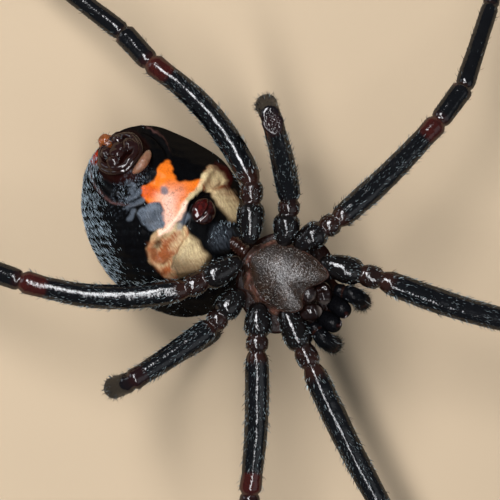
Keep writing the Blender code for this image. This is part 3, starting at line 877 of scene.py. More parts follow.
def belly_paint(places, normals):
    """Colour and roughness over the abdomen, from marks given by place."""
    shift = np.stack([ripple(places, 0.4, 31), ripple(places, 0.4, 32)], axis=1) * 0.035
    shift += np.stack([ripple(places, 0.14, 33), ripple(places, 0.14, 34)], axis=1) * 0.02
    x, y = places[:, 0] + shift[:, 0], places[:, 1] + shift[:, 1]
    z, up = places[:, 2], smooth(0.0, 0.2, normals[:, 2])
    paint = Paint(len(x), "abdomen", 0.28)
    lay = paint.lay

    def spot(*shape, soft=0.12):
        return smooth(1 + soft, 1 - soft, oval(x, y, *shape)) * up

    def stroke(path, width, soft=0.4):
        return smooth(width * (1 + soft), width * (1 - soft), line_distance(x, y, path)) * up

    def patch(outline, soft=0.05):
        return region(x, y, outline, soft) * up

    cloud = ripple(places, 0.3, 35)
    # Fibres that run outward over the pale skin
    fibres = ripple(np.stack([0.25 * (x * 0.6 + y), x - y * 0.6], axis=1), 0.05, 38)
    # Pale skin of the lung covers and the fold behind them. The covers carry painted shade: darker
    # along two lines over them, and towards the outer side of the left one
    shadow = 0.3 * stroke(COVER_SHADES[0], 0.3, 0.8) + 0.45 * stroke(COVER_SHADES[1], 0.25, 0.8)
    left, right = patch(LEFT_COVER, 0.12), patch(RIGHT_COVER, 0.12)
    lay("lobe", (left + right) * 0.7, 0.42, 0.7)
    for cover in (left, right):
        lay("cream", cover * (0.82 - shadow + 0.2 * fibres), 0.42)
    # Painted shade: the left cover turns brown towards its outer side
    lay("trochanter", left * smooth(-0.8, -1.7, x) * (0.6 + 0.2 * fibres), 0.42)
    lay("lobe", patch(LEFT_FOLD), 0.34)
    # Painted highlight: cream along the left part of the fold's crest
    lay("cream", stroke(FOLD_LINE[3:5], 0.12, 0.8) * 0.8, 0.34)
    lay("cream", patch(LEFT_FOLD, 0.06) * (0.5 + 0.45 * cloud + 0.15 * fibres), 0.34, 1.05)
    lay("lobe", stroke(LOBE_RIM, 0.09, 0.7) * 0.5, 0.3)
    lay("lobe", stroke(LOBE_CORE, 0.12, 0.6) * 0.9, 0.34, 0.8)
    lay("coxa", spot(*LOBE_PIT, 0.16, 0.13, soft=0.6) * 0.7, 0.3)
    lay("lobe", patch(RIGHT_FOLD) * 0.9, 0.34, 0.8)
    lay("cream", patch(RIGHT_FOLD) * (0.55 + 0.35 * cloud + 0.12 * fibres), 0.34)
    lay("epigyne", stroke(DARK_LOBE, 0.14, 0.5) * 0.75, 0.26, 0.9)
    # The orange mark: three lobes round a salmon middle, with a painted highlight along the fold
    # before it
    lay("orange", patch(MARK), 0.5)
    lay("stripe", stroke(LEFT_ARM, 0.22, 0.5) * patch(MARK) * 0.6, 0.5, 1.3)
    lay("salmon", patch(MARK_MIDDLE, 0.25) * patch(MARK) * (0.8 + 0.3 * cloud), 0.5)
    lay("pink", patch(MARK) * stroke(PINK_LINE, 0.3, 0.95) * (0.9 + 0.1 * fibres), 0.45)
    lay("coxa", patch(MARK_MIDDLE, 0.2) * smooth(0.5, 1.3, ripple(places, 0.05, 36)) * 0.45)
    # Painted highlight along the fold's crest: cream, with a brighter pink end
    lay("cream", stroke(FOLD_HIGHLIGHT_BAND, 0.08, 0.5) * 0.8, 0.36, 1.1)
    lay("pink", stroke(FOLD_HIGHLIGHT_BAND[3:], 0.1, 0.7) * 0.85, 0.36, 1.25)
    lay("slate", spot(*GREY_SPOT, 0.13, 0.15, soft=0.4) * 0.85, 0.35)
    lay("slate", patch(SLATE, 0.04) * (0.7 + 0.2 * cloud + 0.2 * fibres), 0.36)
    for stripe in SLATE_STRIPES:
        lay("slate", stroke(stripe, 0.08, 0.5) * 0.6, 0.34)
    lay("slate", stroke(SILVER_RIDGE, 0.1, 0.6) * 0.7, 0.3)
    lay("slate", spot(0.05, 2.45, 0.42, 0.38, soft=0.6) * (0.2 + 0.12 * fibres), 0.4)
    # The ring fold, and the reddish skin round the spinnerets
    ring = np.hypot(x - RING_FOLD[0], y - RING_FOLD[1]) - RING_FOLD[2]
    shown = np.clip(smooth(0.0, -0.7, x) + smooth(1.0, 1.5, x) * 0.6, 0, 1)
    lay("crease", bell(ring, 0.028) * smooth(5.4, 6.1, y) * up * shown, 0.3)
    near = np.hypot(x - SPINNERETS[0], y - SPINNERETS[1])
    lay("spinneret", smooth(1.05, 0.8, near) * up, 0.2)
    speckle = smooth(0.4, 1.2, ripple(places, 0.035, 37))
    lay("slate", spot(-0.35, 5.95, 0.8, 0.4, soft=0.5) * speckle, 0.35)
    # The stripe along the back, from behind the anal tubercle to the middle
    back = smooth(3.6, 3.0, z) * smooth(4.3, 5.0, y)
    half_width = 0.14 + 0.08 * smooth(5.0, 7.5, y)
    lay("stripe", back * smooth(half_width + 0.08, half_width - 0.04, np.abs(x + 0.12)), 0.4)
    return paint.colour, paint.gloss


def make_abdomen():
    skin = settings().skin
    along, turn = ring_grid(skin.abdomen_rings, skin.abdomen_sides, 0.012)
    places, normals = egg_place(along, turn + 0.4 * np.cos(turn))
    x, y, up = places[:, 0], places[:, 1], normals[:, 2]
    height = belly_relief(x, y, up) + smooth(0.3, -0.2, up) * 0.03 * ripple(places, 0.7, 25)
    for pair_y, half in ((3.4, 0.75), (4.3, 0.85), (5.3, 0.75)):
        for side in (-1, 1):
            dimple = np.hypot(x + 0.2 - side * half, y - pair_y)
            height -= 0.05 * bell(dimple, 0.12) * smooth(0.0, -0.5, up)
    places = places + normals * height[:, None]
    shape = ring_shape(places, skin.abdomen_sides, *belly_paint(places, normals))
    make_piece("abdomen_skin", shape, "leathery_skin", ["abdomen"])


def grow_abdomen_hair():
    """Short hair that points to the rear, thin over the pale and the glossy places."""
    hair = settings().hair
    draw = np.random.default_rng(hair.seed + 100)
    wanted = hair.abdomen_hairs * 2
    along = np.arccos(draw.uniform(-1, 1, wanted))
    around = draw.uniform(0, 2 * math.pi, wanted)
    places, normals = egg_place(along, around)
    roots = places + normals * belly_relief(places[:, 0], places[:, 1], normals[:, 2])[:, None]
    x, y, up = roots[:, 0], roots[:, 1], normals[:, 2]
    leftward = 0.677 * y - 0.735 * x
    flank = smooth(4.9, 5.4, leftward)
    chance = 0.45 + 0.55 * smooth(4.8, 5.3, leftward)
    masks = [region(x, y, outline, 0.03)
             for outline in (LEFT_COVER, RIGHT_COVER, LEFT_FOLD, RIGHT_FOLD, MARK)]
    masks.append(smooth(0.95, 0.85, np.hypot(x - SPINNERETS[0], y - SPINNERETS[1])))
    masks.append(smooth(1.15, 0.9, oval(x, y, *EPIGYNE, 0.6, 0.55)))
    masks.append(0.8 * smooth(1.3, 0.8, oval(x, y, 1.5, 5.4, 0.8, 1.1)))
    chance -= smooth(0.1, 0.4, up) * 0.5 * np.max(masks, axis=0)
    chance -= 0.42 * smooth(0.6, 1.2, x) * smooth(-0.3, 0.0, up)
    silver = np.max([
        (0.12 + 0.6 * flank) * smooth(-0.9, -0.2, up) * smooth(0.95, 0.65, up),
        0.7 * smooth(1.2, 0.7, oval(x, y, -0.3, 6.05, 0.75, 0.5)),
        0.9 * smooth(1.2, 0.8, oval(x, y, 0.05, 2.42, 0.55, 0.5)),
        0.6 * bell(line_distance(x, y, SILVER_RIDGE), 0.12),
        np.full(wanted, 0.04),
    ], axis=0)
    keep = (draw.uniform(size=wanted) < chance) & (roots[:, 2] > 0.05)
    keep &= np.linalg.norm(roots - np.array(STALK), axis=1) > 0.6
    roots, normals, along, around, silver, flank = (
        values[keep] for values in (roots, normals, along, around, silver, flank)
    )
    count = len(roots)
    behind = egg_place(np.minimum(along + 0.02, math.pi - 0.001), around)[0]
    lies = unit(behind - egg_place(along, around)[0])
    lies = lies + np.cross(normals, lies) * draw.normal(0, 0.15, count)[:, None]
    lengths = hair.abdomen_length / MM * draw.uniform(0.7, 1.25, count) * (1 + 0.7 * flank)
    widths = hair.width / MM * draw.uniform(0.8, 1.1, count)
    lift = np.radians(draw.uniform(8, 26, count))
    colours = hair_colours(count, draw, silver, 1.0) * (0.86, 0.97, 1.06)
    grow_hair("abdomen_hair", roots, normals, lies, lengths, widths, lift, colours,
              map_place(along / math.pi, around))


# Small shapes

def tube_shape(path, radii, colour, gloss, sides, flat=1.0, up=(0.0, 0.0, 1.0)):
    """A closed tube. Colour is one value, or one for each point of the path."""
    colour = np.asarray(colour, float)
    if colour.ndim == 2:
        colour = np.repeat(colour, sides, axis=0)
    return ring_shape(tube_rings(path, radii, sides, flat, up), sides, colour, gloss)


def bead_shape(middle, half, axes, colour, gloss, rings, sides):
    """A squashed ball on three axes, its poles on the third one."""
    angle, turn = ring_grid(rings, sides, 0.05)
    ball = [np.sin(angle) * np.cos(turn), np.sin(angle) * np.sin(turn), np.cos(angle)]
    return ring_shape(middle + (np.stack(ball, axis=1) * half) @ axes, sides, colour, gloss)


def joined(shapes):
    faces, start = [], 0
    for points, own_faces, _, _ in shapes:
        faces += [tuple(corner + start for corner in face) for face in own_faces]
        start += len(points)
    points, paint, gloss = (np.concatenate([shape[i] for shape in shapes]) for i in (0, 2, 3))
    return points, faces, paint, gloss


def mixed(first, second, share):
    """Colours between two, one for each share."""
    return first + (second - first) * np.clip(share, 0.0, 1.0)[..., None]


# The front of the body

def shield_place(ways):
    """Places on the back shield for unit vectors: a blunt head, and a slope to the stalk."""
    half_x, half_y, half_z = SHIELD_HALF
    ahead = np.maximum(-ways[:, 1], 0.0)
    behind = smooth(0.1, 1.0, ways[:, 1])
    width = 1 - 0.34 * bell(ahead - 0.58, 0.24) + 0.3 * ahead ** 8
    x = half_x * ways[:, 0] * width
    y = SHIELD_MIDDLE_Y + half_y * ways[:, 1]
    depth = half_z * ways[:, 2] * (1 + 0.9 * ahead ** 4) * (1 - 0.45 * behind)
    pit = 0.22 * bell(x, 0.22) * bell(y - 0.35, 0.45)
    z = SHIELD_TOP_Z + np.where(ways[:, 2] > 0, 0.1 * ways[:, 2], depth + pit)
    return np.stack([x, y, z], axis=1)


def make_carapace():
    """The back shield with its grooves, and the eight eyes."""
    sides = 150
    a, t = ring_grid(110, sides, 0.03)
    ways = np.stack([np.sin(a) * np.cos(t), -np.cos(a), np.sin(a) * np.sin(t)], axis=1)
    places = shield_place(ways)
    x, y = places[:, 0], places[:, 1]
    spoke, reach = np.arctan2(x, y - 0.35), np.hypot(x, y - 0.35)
    furrow = 0.045 * (0.5 + 0.5 * np.cos(8 * spoke)) ** 8 * smooth(0.25, 0.5, reach)
    for side in (-1, 1):
        line = ((side * 0.12, 0.15), (side * 0.55, -0.45), (side * 0.98, -1.15))
        furrow += 0.06 * bell(line_distance(x, y, line), 0.09)
    dome = smooth(0.0, -0.25, ways[:, 2])
    places[:, 2] += dome * (furrow + 0.01 * ripple(places, 0.2, 41))
    rim = bell(ways[:, 2] + 0.04, 0.05)
    places[:, :2] += unit(places[:, :2] - (0.0, SHIELD_MIDDLE_Y)) * rim[:, None] * 0.04
    shade = mixed(paint_colour("plate") * 0.55, paint_colour("cuticle"), furrow / 0.05)
    under = smooth(-0.08, 0.02, ways[:, 2])
    shade = mixed(shade, paint_colour("trochanter") * 0.7, under)
    make_piece("carapace_skin", ring_shape(places, sides, shade, 0.25 + 0.35 * under),
               "bristly_chitin", ["carapace"])
    beads, sockets = [], []
    for ahead, down, across in EYE_ROWS:
        for side in across:
            place = shield_place(unit(np.array([[side, ahead, down]])))[0]
            out = unit(place - (0.0, SHIELD_MIDDLE_Y, SHIELD_TOP_Z - 0.4))
            right = unit(np.cross(out, (0.0, 0.0, 1.0)))
            axes = np.array([right, np.cross(out, right), out])
            half = np.full(3, EYE_RADIUS)
            sockets.append(bead_shape(place - out * 0.03, half * (1.25, 1.25, 1.0), axes,
                                      paint_colour("cuticle"), 0.25, 12, 20))
            beads.append(bead_shape(place + out * 0.01, half, axes, paint_colour("eye"), 0.06,
                                    14, 22))
    make_piece("eye_sockets", joined(sockets), "pitted_chitin")
    make_piece("eyes", joined(beads), "clear_chitin_lens")


# The edge of the breast plate, notched ahead for the labium
PLATE_MIDDLE = (0.09, 0.1)
PLATE_EDGE = (
    (0.5, 1.17), (0.94, 0.75), (1.17, 0.1), (1.17, -0.62), (0.99, -1.18), (0.56, -1.07),
    (0.2, -0.83), (-0.16, -0.91), (-0.45, -1.06), (-0.82, -0.75), (-0.92, -0.18), (-0.8, 0.42),
    (-0.57, 0.86), (-0.17, 1.21), (0.18, 1.29),
)


def plate_outline(turn):
    """Where the edge of the breast plate is, for a way round it of 0 to two pi."""
    edge = closed_spline(PLATE_EDGE, 12)
    ways = np.linspace(0, 2 * math.pi, len(edge))
    return np.interp(turn, ways, edge[:, 0]), np.interp(turn, ways, edge[:, 1])


def plate_place(turn, share):
    """A place on the breast plate at this share of the way from its middle to its edge."""
    x, y = plate_outline(turn)
    middle_x, middle_y = PLATE_MIDDLE
    y = middle_y + (y - middle_y) * share
    height = plate_height(np.minimum(share, 1.0)) - 0.17 * (y - middle_y)
    return np.stack([middle_x + (x - middle_x) * share, y, height], axis=-1)


def plate_height(share):
    return CHEST_Z + 0.12 + 0.32 * np.maximum(1 - share ** 2, 0.0) ** 0.9


def make_sternum():
    """The breast plate, the labium before it, and the short pale hair on them."""
    sides = 180
    theta = np.arange(sides) * 2 * math.pi / sides
    levels = [(share, plate_height(share)) for share in np.linspace(0.02, 1.0, 60)]
    levels += [(1.015, CHEST_Z + 0.08), (1.01, CHEST_Z), (0.96, CHEST_Z - 0.08)]
    levels += [(share, CHEST_Z - 0.1) for share in (0.8, 0.5, 0.1)]
    rings = []
    for share, height in levels:
        ring = plate_place(theta, share)
        ring[:, 2] += height - plate_height(min(share, 1.0))
        rings.append(ring)
    flat = np.concatenate(rings)
    share, height = np.repeat(levels, sides, axis=0).T
    flat[:, 2] += ((share <= 1.0) & (height > CHEST_Z + 0.1)) * 0.003 * ripple(flat[:, :2], 0.3, 51)
    tone = mixed(paint_colour("plate"), paint_colour("crease"), smooth(0.95, 1.0, share) * 0.3)
    tone = tone * (1 + 0.25 * ripple(flat[:, :2], 0.3, 53))[:, None]
    plate = ring_shape(flat, sides, np.clip(tone, 0, 1), 0.2)
    labium = bead_shape((0.07, -0.99, CHEST_Z + 0.14), (0.29, 0.24, 0.2), np.eye(3),
                        paint_colour("coxa"), 0.16, 26, 36)
    ahead = smooth(-1.1, -1.2, labium[0][:, 1])
    labium[2][:] = mixed(paint_colour("maxilla"), paint_colour("pale_horn"), ahead * 0.5)
    make_piece("sternum_plate", joined([plate, labium]), "pitted_chitin",
               ["sternum"])
    hair = settings().hair
    draw = np.random.default_rng(hair.seed + 200)
    count = 5200
    share = np.sqrt(draw.uniform(0.0, 0.98, count))
    turn = draw.uniform(0, 2 * math.pi, count)
    roots = plate_place(turn, share)
    out = unit(plate_place(turn, share + 0.02) - roots)
    normals = np.cross(unit(np.cross(out, (0.0, 0.0, 1.0))), out)
    lies = (0.0, 1.0, 0.0) + draw.normal(0, 0.35, (count, 3))
    lengths = draw.uniform(0.05, 0.11, count)
    colours = hair_colours(count, draw, 0.25, 1.0) * (1.1, 1.0, 0.92)
    grow_hair("sternum_hair", roots, normals, lies, lengths, np.full(count, hair.width / MM) * 0.7,
              np.radians(draw.uniform(8, 40, count)), colours, 0.5 + 0.3 * roots[:, :2])


def make_pleura():
    """The soft creased skin between the back shield, the breast plate and the coxae."""
    sides = 200
    a, t = ring_grid(60, sides, 0.05)
    places = np.stack([
        0.06 + 1.24 * np.sin(a) * np.cos(t), 0.02 + 1.42 * np.sin(a) * np.sin(t),
        4.9 + 0.46 * np.cos(a),
    ], axis=1)
    creases = 0.03 * ripple(places, 0.12, 61) + 0.04 * ripple(places, 0.3, 62)
    places += unit(places - (0.06, 0.02, 4.92)) * creases[:, None]
    tone = mixed(paint_colour("pleura"), paint_colour("membrane"),
                 0.2 + 0.4 * ripple(places, 0.25, 63))
    make_piece("side_skin", ring_shape(places, sides, np.clip(tone, 0, 1), 0.28), "soft_cuticle")
    stalk = spline([(0.05, 1.45, 4.75), (0.08, 1.75, 4.55), (0.1, 1.95, 4.52), (0.1, 2.2, 4.5)], 8)
    radii = 0.25 + 0.02 * np.cos(np.arange(len(stalk)) * 1.3)
    make_piece("stalk_skin", tube_shape(stalk, radii, paint_colour("trochanter"), 0.3, 40),
               "tanned_chitin", ["pedicel"])


MAXILLA = ((0.58, -1.08, 5.2), (0.5, -1.23, 5.36), (0.37, -1.38, 5.45), (0.23, -1.53, 5.49),
           (0.12, -1.64, 5.46))
MAXILLA_RADII = (0.15, 0.25, 0.28, 0.24, 0.08)
CHELICERA = ((0.3, -1.76, 5.05), (0.3, -1.9, 5.25), (0.29, -2.1, 5.5), (0.28, -2.27, 5.72),
             (0.27, -2.36, 5.84))
CHELICERA_RADII = (0.2, 0.28, 0.3, 0.28, 0.17)
FANG = ((0.25, -2.36, 5.83), (0.2, -2.42, 5.92), (0.12, -2.42, 5.95), (0.04, -2.35, 5.94))
PALP = ((0.68, -1.66, 5.15), (0.8, -1.95, 5.26), (0.88, -2.25, 5.38), (0.9, -2.5, 5.22),
        (0.88, -2.62, 4.92), (0.84, -2.66, 4.4), (0.78, -2.64, 3.95), (0.74, -2.6, 3.72))
PALP_OUTLINE = (
    (0.0, 0.18), (0.05, 0.26), (0.11, 0.25), (0.13, 0.2), (0.15, 0.27), (0.25, 0.29), (0.4, 0.28),
    (0.43, 0.22), (0.455, 0.27), (0.5, 0.29), (0.55, 0.28), (0.575, 0.21), (0.6, 0.26),
    (0.74, 0.26), (0.765, 0.2), (0.79, 0.24), (0.9, 0.22), (0.97, 0.14), (1.0, 0.05),
)


def make_mouthparts(side, letter):
    """One maxilla, chelicera with its fang, and palp with its bristles."""
    mirror = (side, 1.0, 1.0)
    path = spline(MAXILLA, 10) * mirror
    rim = smooth(0.72, 0.95, np.linspace(0, 1, len(path)))
    tone = mixed(paint_colour("maxilla"), paint_colour("pale_horn"), rim)
    lobe = tube_shape(path, spline(MAXILLA_RADII, 10), tone, 0.2, 60, 0.85)
    lobe[0][:, 2] += 0.022 * ripple(lobe[0], 0.13, 66) + 0.03 * ripple(lobe[0], 0.3, 67)
    make_piece(f"maxilla_{letter}_skin", lobe, "polished_chitin",
               [f"maxilla_{letter}"])
    basal = tube_shape(spline(CHELICERA, 10) * mirror, spline(CHELICERA_RADII, 10),
                       paint_colour("cuticle"), 0.36, 36, up=(0.0, 1.0, 0.0))
    make_piece(f"chelicera_{letter}_skin", basal, "bristly_chitin",
               [f"chelicera_{letter}"])
    path = spline(FANG, 8) * mirror
    fang = tube_shape(path, np.linspace(0.07, 0.012, len(path)), paint_colour("spinneret"), 0.12,
                      20)
    make_piece(f"fang_{letter}", fang, "polished_chitin")
    path = spline(PALP, 14) * mirror
    share = np.concatenate([[0], np.cumsum(np.linalg.norm(np.diff(path, axis=0), axis=1))])
    even = np.linspace(0, 1, 150)
    path = np.stack([np.interp(even, share / share[-1], path[:, i]) for i in range(3)], axis=1)
    radii = blur(np.interp(even, *np.transpose(PALP_OUTLINE)), 1.2)
    tone = paint_colour("cuticle")
    for neck in (0.13, 0.43, 0.575, 0.765):
        tone = mixed(tone, paint_colour("trochanter"), bell(even - neck, 0.02))
    palp = tube_shape(path, radii, tone, 0.34, 32, up=(1.0, 0.0, 0.0))
    make_piece(f"palp_{letter}_skin", palp, "bristly_chitin", [f"palp_{letter}"])
    hair, count = settings().hair, 560
    draw = np.random.default_rng(hair.seed + 300 + side)
    spot = draw.integers(8, 146, count)
    clock = draw.uniform(0, 2 * math.pi, count)
    ahead, across, ups = (ways[spot] for ways in frames_along(path, (1.0, 0.0, 0.0)))
    out = across * np.cos(clock)[:, None] + ups * np.sin(clock)[:, None]
    lies = ahead + draw.normal(0, 0.15, (count, 3))
    grow_hair(f"palp_{letter}_hair", path[spot] + out * radii[spot][:, None], out, lies,
              draw.uniform(0.12, 0.32, count), np.full(count, hair.width / MM),
              np.radians(draw.uniform(14, 55, count)), hair_colours(count, draw, 0.14, 0.6),
              map_place(even[spot], clock, 0.9))


# The rear end

def belly_axes(x, y):
    """Place on the plain underside, and axes to the spider's right, to its rear and outward."""
    place, normal = belly_place(x, y)
    right = unit(np.array([1.0, 0.0, 0.0]) - normal * normal[0])
    return place, np.array([right, np.cross(normal, right), normal])


CONE_OUTLINE = ((0.0, 0.24), (0.3, 0.26), (0.52, 0.25), (0.6, 0.22), (0.66, 0.215), (0.85, 0.18),
                (0.95, 0.12), (1.0, 0.05))


def make_spinnerets():
    """The rosette of six cones in a folded ring, with two darker folds round it."""
    place, axes = belly_axes(*SPINNERETS)
    dark, red = paint_colour("spinneret"), paint_colour("trochanter")
    turn = np.linspace(0, 2 * math.pi, 90)
    shapes = []
    for radius, height, thick, tone in ((0.66, 0.24, 0.11, dark), (0.76, 0.12, 0.09, red * 0.6)):
        wave = radius * (1 + 0.02 * np.sin(5 * turn))
        circle = np.stack([wave * np.cos(turn), wave * np.sin(turn),
                           height + 0.02 * np.sin(7 * turn)], axis=1)
        shapes.append(tube_shape(place + circle @ axes, np.full(90, thick), tone, 0.16, 20,
                                 up=axes[2]))
    cones = ((0.41, 1.1, 0.4, (-28, -152)), (0.43, 0.9, 0.38, (48, 132)),
             (0.07, 1.2, 0.48, (20, 200)))
    for ring, thick, height, bearings in cones:
        for angle in map(math.radians, bearings):
            way = np.array([math.cos(angle), math.sin(angle), 0.0])
            low, high = way * ring, way * ring * 0.55 + (0, 0, height)
            bent = [low + (0, 0, 0.14), low * 0.98 + (0, 0, 0.26),
                    high * 0.6 + low * 0.4 + (0, 0, 0.1), high]
            path = place + spline(bent, 10) @ axes
            share = np.linspace(0, 1, len(path))
            radii = np.interp(share, *np.transpose(CONE_OUTLINE)) * thick
            tone = mixed(dark, red, 0.3 * bell(share - 0.56, 0.08) + 0.3 * smooth(0.3, 0.0, share))
            shapes.append(tube_shape(path, radii, tone, 0.13, 26, up=axes[1]))
    make_piece("spinneret_rosette", joined(shapes), "polished_chitin",
               ["spinnerets"])


def make_colulus_and_tubercle():
    """The pale lobe before the spinnerets, and the anal tubercle behind them."""
    path = []
    for x, y, rise in ((0.16, 6.12, 0.1), (0.36, 6.03, 0.17), (0.6, 6.0, 0.19), (0.86, 6.03, 0.17),
                       (1.06, 6.1, 0.1)):
        place, axes = belly_axes(x, y)
        path.append(place + axes[2] * rise)
    path = spline(path, 8)
    radii = 0.03 + 0.14 * np.sin(math.pi * np.linspace(0, 1, len(path))) ** 0.6
    make_piece("colulus", tube_shape(path, radii, paint_colour("colulus"), 0.22, 24),
               "soft_cuticle")
    place, axes = belly_axes(*ANAL_TUBERCLE)
    rises = (0.05, 0.16, 0.3, 0.4, 0.44, 0.52, 0.58)
    path = spline([place + axes[2] * rise for rise in rises], 6)
    share = np.linspace(0, 1, len(path))
    red = 0.7 * bell(share - 0.62, 0.07) + 0.4 * smooth(0.9, 1.0, share)
    tone = mixed(paint_colour("tubercle"), paint_colour("trochanter"), red)
    radii = spline((0.27, 0.3, 0.29, 0.23, 0.22, 0.18, 0.06), 6)
    make_piece("anal_tubercle_skin", tube_shape(path, radii, tone, 0.14, 32, up=axes[1]),
               "polished_chitin", ["anal_tubercle"])


def grow_rear_hair():
    """Fringes of hair on the cones and on the tubercle."""
    draw = np.random.default_rng(settings().hair.seed + 400)
    roots, out = [], []
    for spot, radius, rise, count in ((SPINNERETS, 0.42, 0.4, 90), (ANAL_TUBERCLE, 0.2, 0.4, 40)):
        place, axes = belly_axes(*spot)
        clock = draw.uniform(0, 2 * math.pi, count)
        way = np.stack([np.cos(clock), np.sin(clock), np.zeros(count)], axis=1)
        lift = (0, 0, rise) + draw.normal(0, 0.04, (count, 1)) * (0, 0, 1)
        roots.append(place + (way * radius + lift) @ axes)
        out.append((way * 0.6 + (0, 0, 0.8)) @ axes)
    roots, out = np.vstack(roots), np.vstack(out)
    count = len(roots)
    lies = out + draw.normal(0, 0.4, (count, 3))
    uv = draw.uniform(0.05, 0.9, (count, 2))
    grow_hair("spinneret_hair", roots, out, lies, draw.uniform(0.1, 0.2, count),
              np.full(count, 0.016), np.radians(draw.uniform(40, 80, count)),
              hair_colours(count, draw, 0.5), uv)


def make_epigyne():
    """The dark red lip of the epigyne on its mound."""
    place, axes = belly_axes(*EPIGYNE)
    middle = place + axes[2] * 0.14
    red, dark = paint_colour("epigyne"), paint_colour("spinneret")
    lip = bead_shape(middle, (0.46, 0.43, 0.22), axes, red, 0.1, 36, 60)
    points, paint = lip[0], lip[2]
    local = (points - middle) @ axes.T
    across, back, out = local.T
    top = smooth(0.0, 0.1, out)
    groove = bell(back + 0.04 - 0.5 * across ** 2, 0.045) * top
    low = smooth(0.0, -0.22, back) + smooth(0.32, 0.44, np.hypot(across, back))
    tone = mixed(red, dark * 0.7, 0.8 * groove + 0.9 * np.clip(low, 0, 1))
    paint[:] = np.clip(tone * (1 + 0.3 * ripple(local, 0.1, 71))[:, None], 0, 1)
    points += axes[2] * (0.008 * ripple(local, 0.12, 72) * top - 0.09 * groove)[:, None]
    make_piece("epigyne_lip", lip, "polished_chitin")


class SPIDER_OT_legs(bpy.types.Operator):
    """Lays one skin with hair over the nodes of each leg."""

    bl_idname = "button_spider.legs"
    bl_label = "Legs"

    def execute(self, context):
        for leg in LEGS:
            make_leg(leg)
        return {"FINISHED"}


class SPIDER_OT_abdomen(bpy.types.Operator):
    """Lays the marked skin over the abdomen, with its hair."""

    bl_idname = "button_spider.abdomen"
    bl_label = "Abdomen"

    def execute(self, context):
        make_abdomen()
        grow_abdomen_hair()
        return {"FINISHED"}


class SPIDER_OT_front(bpy.types.Operator):
    """Builds the back shield with the eyes, the breast plate, the soft skin and the mouthparts."""

    bl_idname = "button_spider.front"
    bl_label = "Front of the body"

    def execute(self, context):
        make_carapace()
        make_sternum()
        make_pleura()
        for side, letter in ((1, "r"), (-1, "l")):
            make_mouthparts(side, letter)
        return {"FINISHED"}


class SPIDER_OT_rear(bpy.types.Operator):
    """Builds the spinnerets, the colulus, the anal tubercle and the epigyne."""

    bl_idname = "button_spider.rear"
    bl_label = "Rear end"

    def execute(self, context):
        make_spinnerets()
        make_colulus_and_tubercle()
        grow_rear_hair()
        make_epigyne()
        return {"FINISHED"}


class SPIDER_OT_claws(bpy.types.Operator):
    """Builds the claws at the tips of the legs."""

    bl_idname = "button_spider.claws"
    bl_label = "Claws"

    def execute(self, context):
        make_claws()
        return {"FINISHED"}


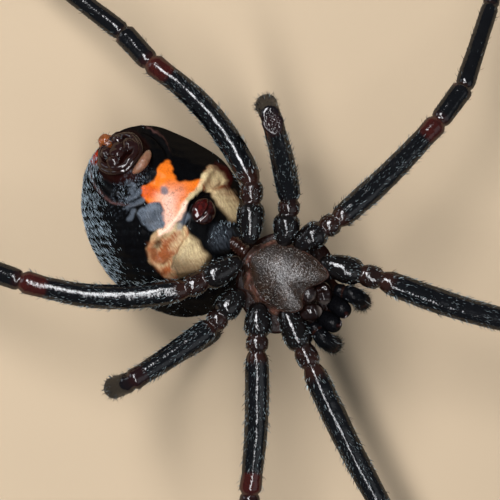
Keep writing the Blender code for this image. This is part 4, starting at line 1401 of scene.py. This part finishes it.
class SPIDER_OT_stage(bpy.types.Operator):
    """Sets the floor, the lights and the camera, which looks straight down on the underside."""

    bl_idname = "button_spider.stage"
    bl_label = "Stage"

    aim = np.array((0.219, 1.47, 5.9))
    picture_right = np.array((0.556, -0.831, 0.0))
    picture_up = np.array((0.831, 0.556, 0.0))

    # A softbox over the picture's upper left, a long strip, and two weak lamps: each as its places
    # right of, up from and above the aim, its width and length in millimetres, watts, and its tint
    lamps = {
        "key": (-36, 54, 112, 50, 50, 0.08, (0.98, 0.98, 1.0)),
        "strip": (-22, 4, 125, 20, 210, 0.21, (0.98, 0.98, 1.0)),
        "fill": (110, -60, 110, 120, 120, 0.025, (0.9, 0.95, 1.0)),
        "rim": (-150, 60, 50, 70, 70, 0.03, (0.85, 0.93, 1.0)),
    }

    def execute(self, context):
        self.target = (self.aim + OFFSET) * MM
        self.make_floor()
        self.make_lights()
        self.make_camera()
        return {"FINISHED"}

    def make_floor(self):
        """A painted board, slightly uneven in tone."""
        half = settings().stage.floor_size / 2
        mesh = bpy.data.meshes.new("floor")
        corners = [(-half, -half, 0), (half, -half, 0), (half, half, 0), (-half, half, 0)]
        mesh.from_pydata(corners, [], [(0, 1, 2, 3)])
        material, tree, shader = start_material("matt_paint", {"Roughness": 0.85})
        place = add_node(tree, "ShaderNodeTexCoord", {}).outputs["Object"]
        cloud = add_node(tree, "ShaderNodeTexNoise", {
            "Vector": place, "Scale": 1 / (9 * MM), "Detail": 2.0})
        tone = paint_colour("floor")
        colour = add_node(tree, "ShaderNodeMix", {
            0: cloud.outputs["Fac"], 6: (*(tone * 0.93), 1.0), 7: (*(tone * 1.07), 1.0)},
            data_type="RGBA")
        tree.links.new(colour.outputs[2], shader.inputs["Base Color"])
        mesh.materials.append(material)
        add_object("floor", mesh)

    def make_lights(self):
        """The lamps, turned so that the long one lies along the picture, and a cool surround."""
        lean = 0.94 * self.picture_up - 0.34 * self.picture_right
        for name, (across, along, height, width, length, power, tint) in self.lamps.items():
            light = bpy.data.lights.new(name, "AREA")
            light.shape = "RECTANGLE"
            light.size, light.size_y = width * MM, length * MM
            light.energy, light.color = power, tint
            away = self.picture_right * across + self.picture_up * along + (0.0, 0.0, height)
            right = unit(np.cross(lean, unit(away)))
            self.place_on_axes(add_object(name, light), self.target + away * MM, right,
                               np.cross(unit(away), right))
        world = bpy.data.worlds.new("studio")
        world.use_nodes = True
        background = world.node_tree.nodes["Background"]
        background.inputs["Color"].default_value = (0.75, 0.86, 1.0, 1.0)
        background.inputs["Strength"].default_value = 0.14
        bpy.context.scene.world = world

    def make_camera(self):
        stage = settings().stage
        data = bpy.data.cameras.new("camera")
        data.sensor_width = 36.0
        data.lens = data.sensor_width * stage.distance / stage.view_width
        data.clip_start, data.clip_end = stage.distance / 10, stage.distance * 20
        camera = add_object("camera", data)
        self.place_on_axes(camera, self.target + (0.0, 0.0, stage.distance), self.picture_right,
                           self.picture_up)
        bpy.context.scene.camera = camera

    def place_on_axes(self, thing, place, right, up):
        """Puts a thing that looks along its own -Z, with these ways to its right and top."""
        matrix = np.eye(4)
        matrix[:3] = np.transpose([right, up, np.cross(right, up), place])
        thing.matrix_world = Matrix(matrix.tolist())


class ButtonSpider(bpy.types.PropertyGroup):
    """Everything that a user may change."""

    colours: bpy.props.PointerProperty(type=SpiderColours, name="Colours")
    hair: bpy.props.PointerProperty(type=SpiderHair, name="Hair")
    skin: bpy.props.PointerProperty(type=SpiderSkin, name="Skin")
    stage: bpy.props.PointerProperty(type=SpiderStage, name="Stage")


BUILDERS = (SPIDER_OT_stage, SPIDER_OT_legs, SPIDER_OT_claws, SPIDER_OT_abdomen, SPIDER_OT_front,
            SPIDER_OT_rear)


class SPIDER_PT_sidebar(bpy.types.Panel):
    """Lists the pieces to build and what a user may change."""

    bl_label = "Button spider"
    bl_idname = "SPIDER_PT_sidebar"
    bl_space_type = "VIEW_3D"
    bl_region_type = "UI"
    bl_category = "Spider"

    def draw(self, context):
        layout = self.layout
        for builder in BUILDERS:
            layout.operator(builder.bl_idname)
        spider = context.scene.button_spider
        for group in (spider.hair, spider.skin, spider.stage, spider.colours):
            box = layout.box()
            for name in group.bl_rna.properties.keys():
                if name not in {"rna_type", "name"}:
                    box.prop(group, name)


CLASSES = (SpiderColours, SpiderHair, SpiderSkin, SpiderStage, ButtonSpider, *BUILDERS,
           SPIDER_PT_sidebar)


def register():
    for item in CLASSES:
        bpy.utils.register_class(item)
    bpy.types.Scene.button_spider = bpy.props.PointerProperty(type=ButtonSpider)


def unregister():
    del bpy.types.Scene.button_spider
    for item in reversed(CLASSES):
        bpy.utils.unregister_class(item)


def main():
    register()
    bpy.context.scene.view_settings.view_transform = "Standard"
    for builder in BUILDERS:
        group, name = builder.bl_idname.split(".")
        getattr(getattr(bpy.ops, group), name)()


if __name__ == "__main__":
    main()
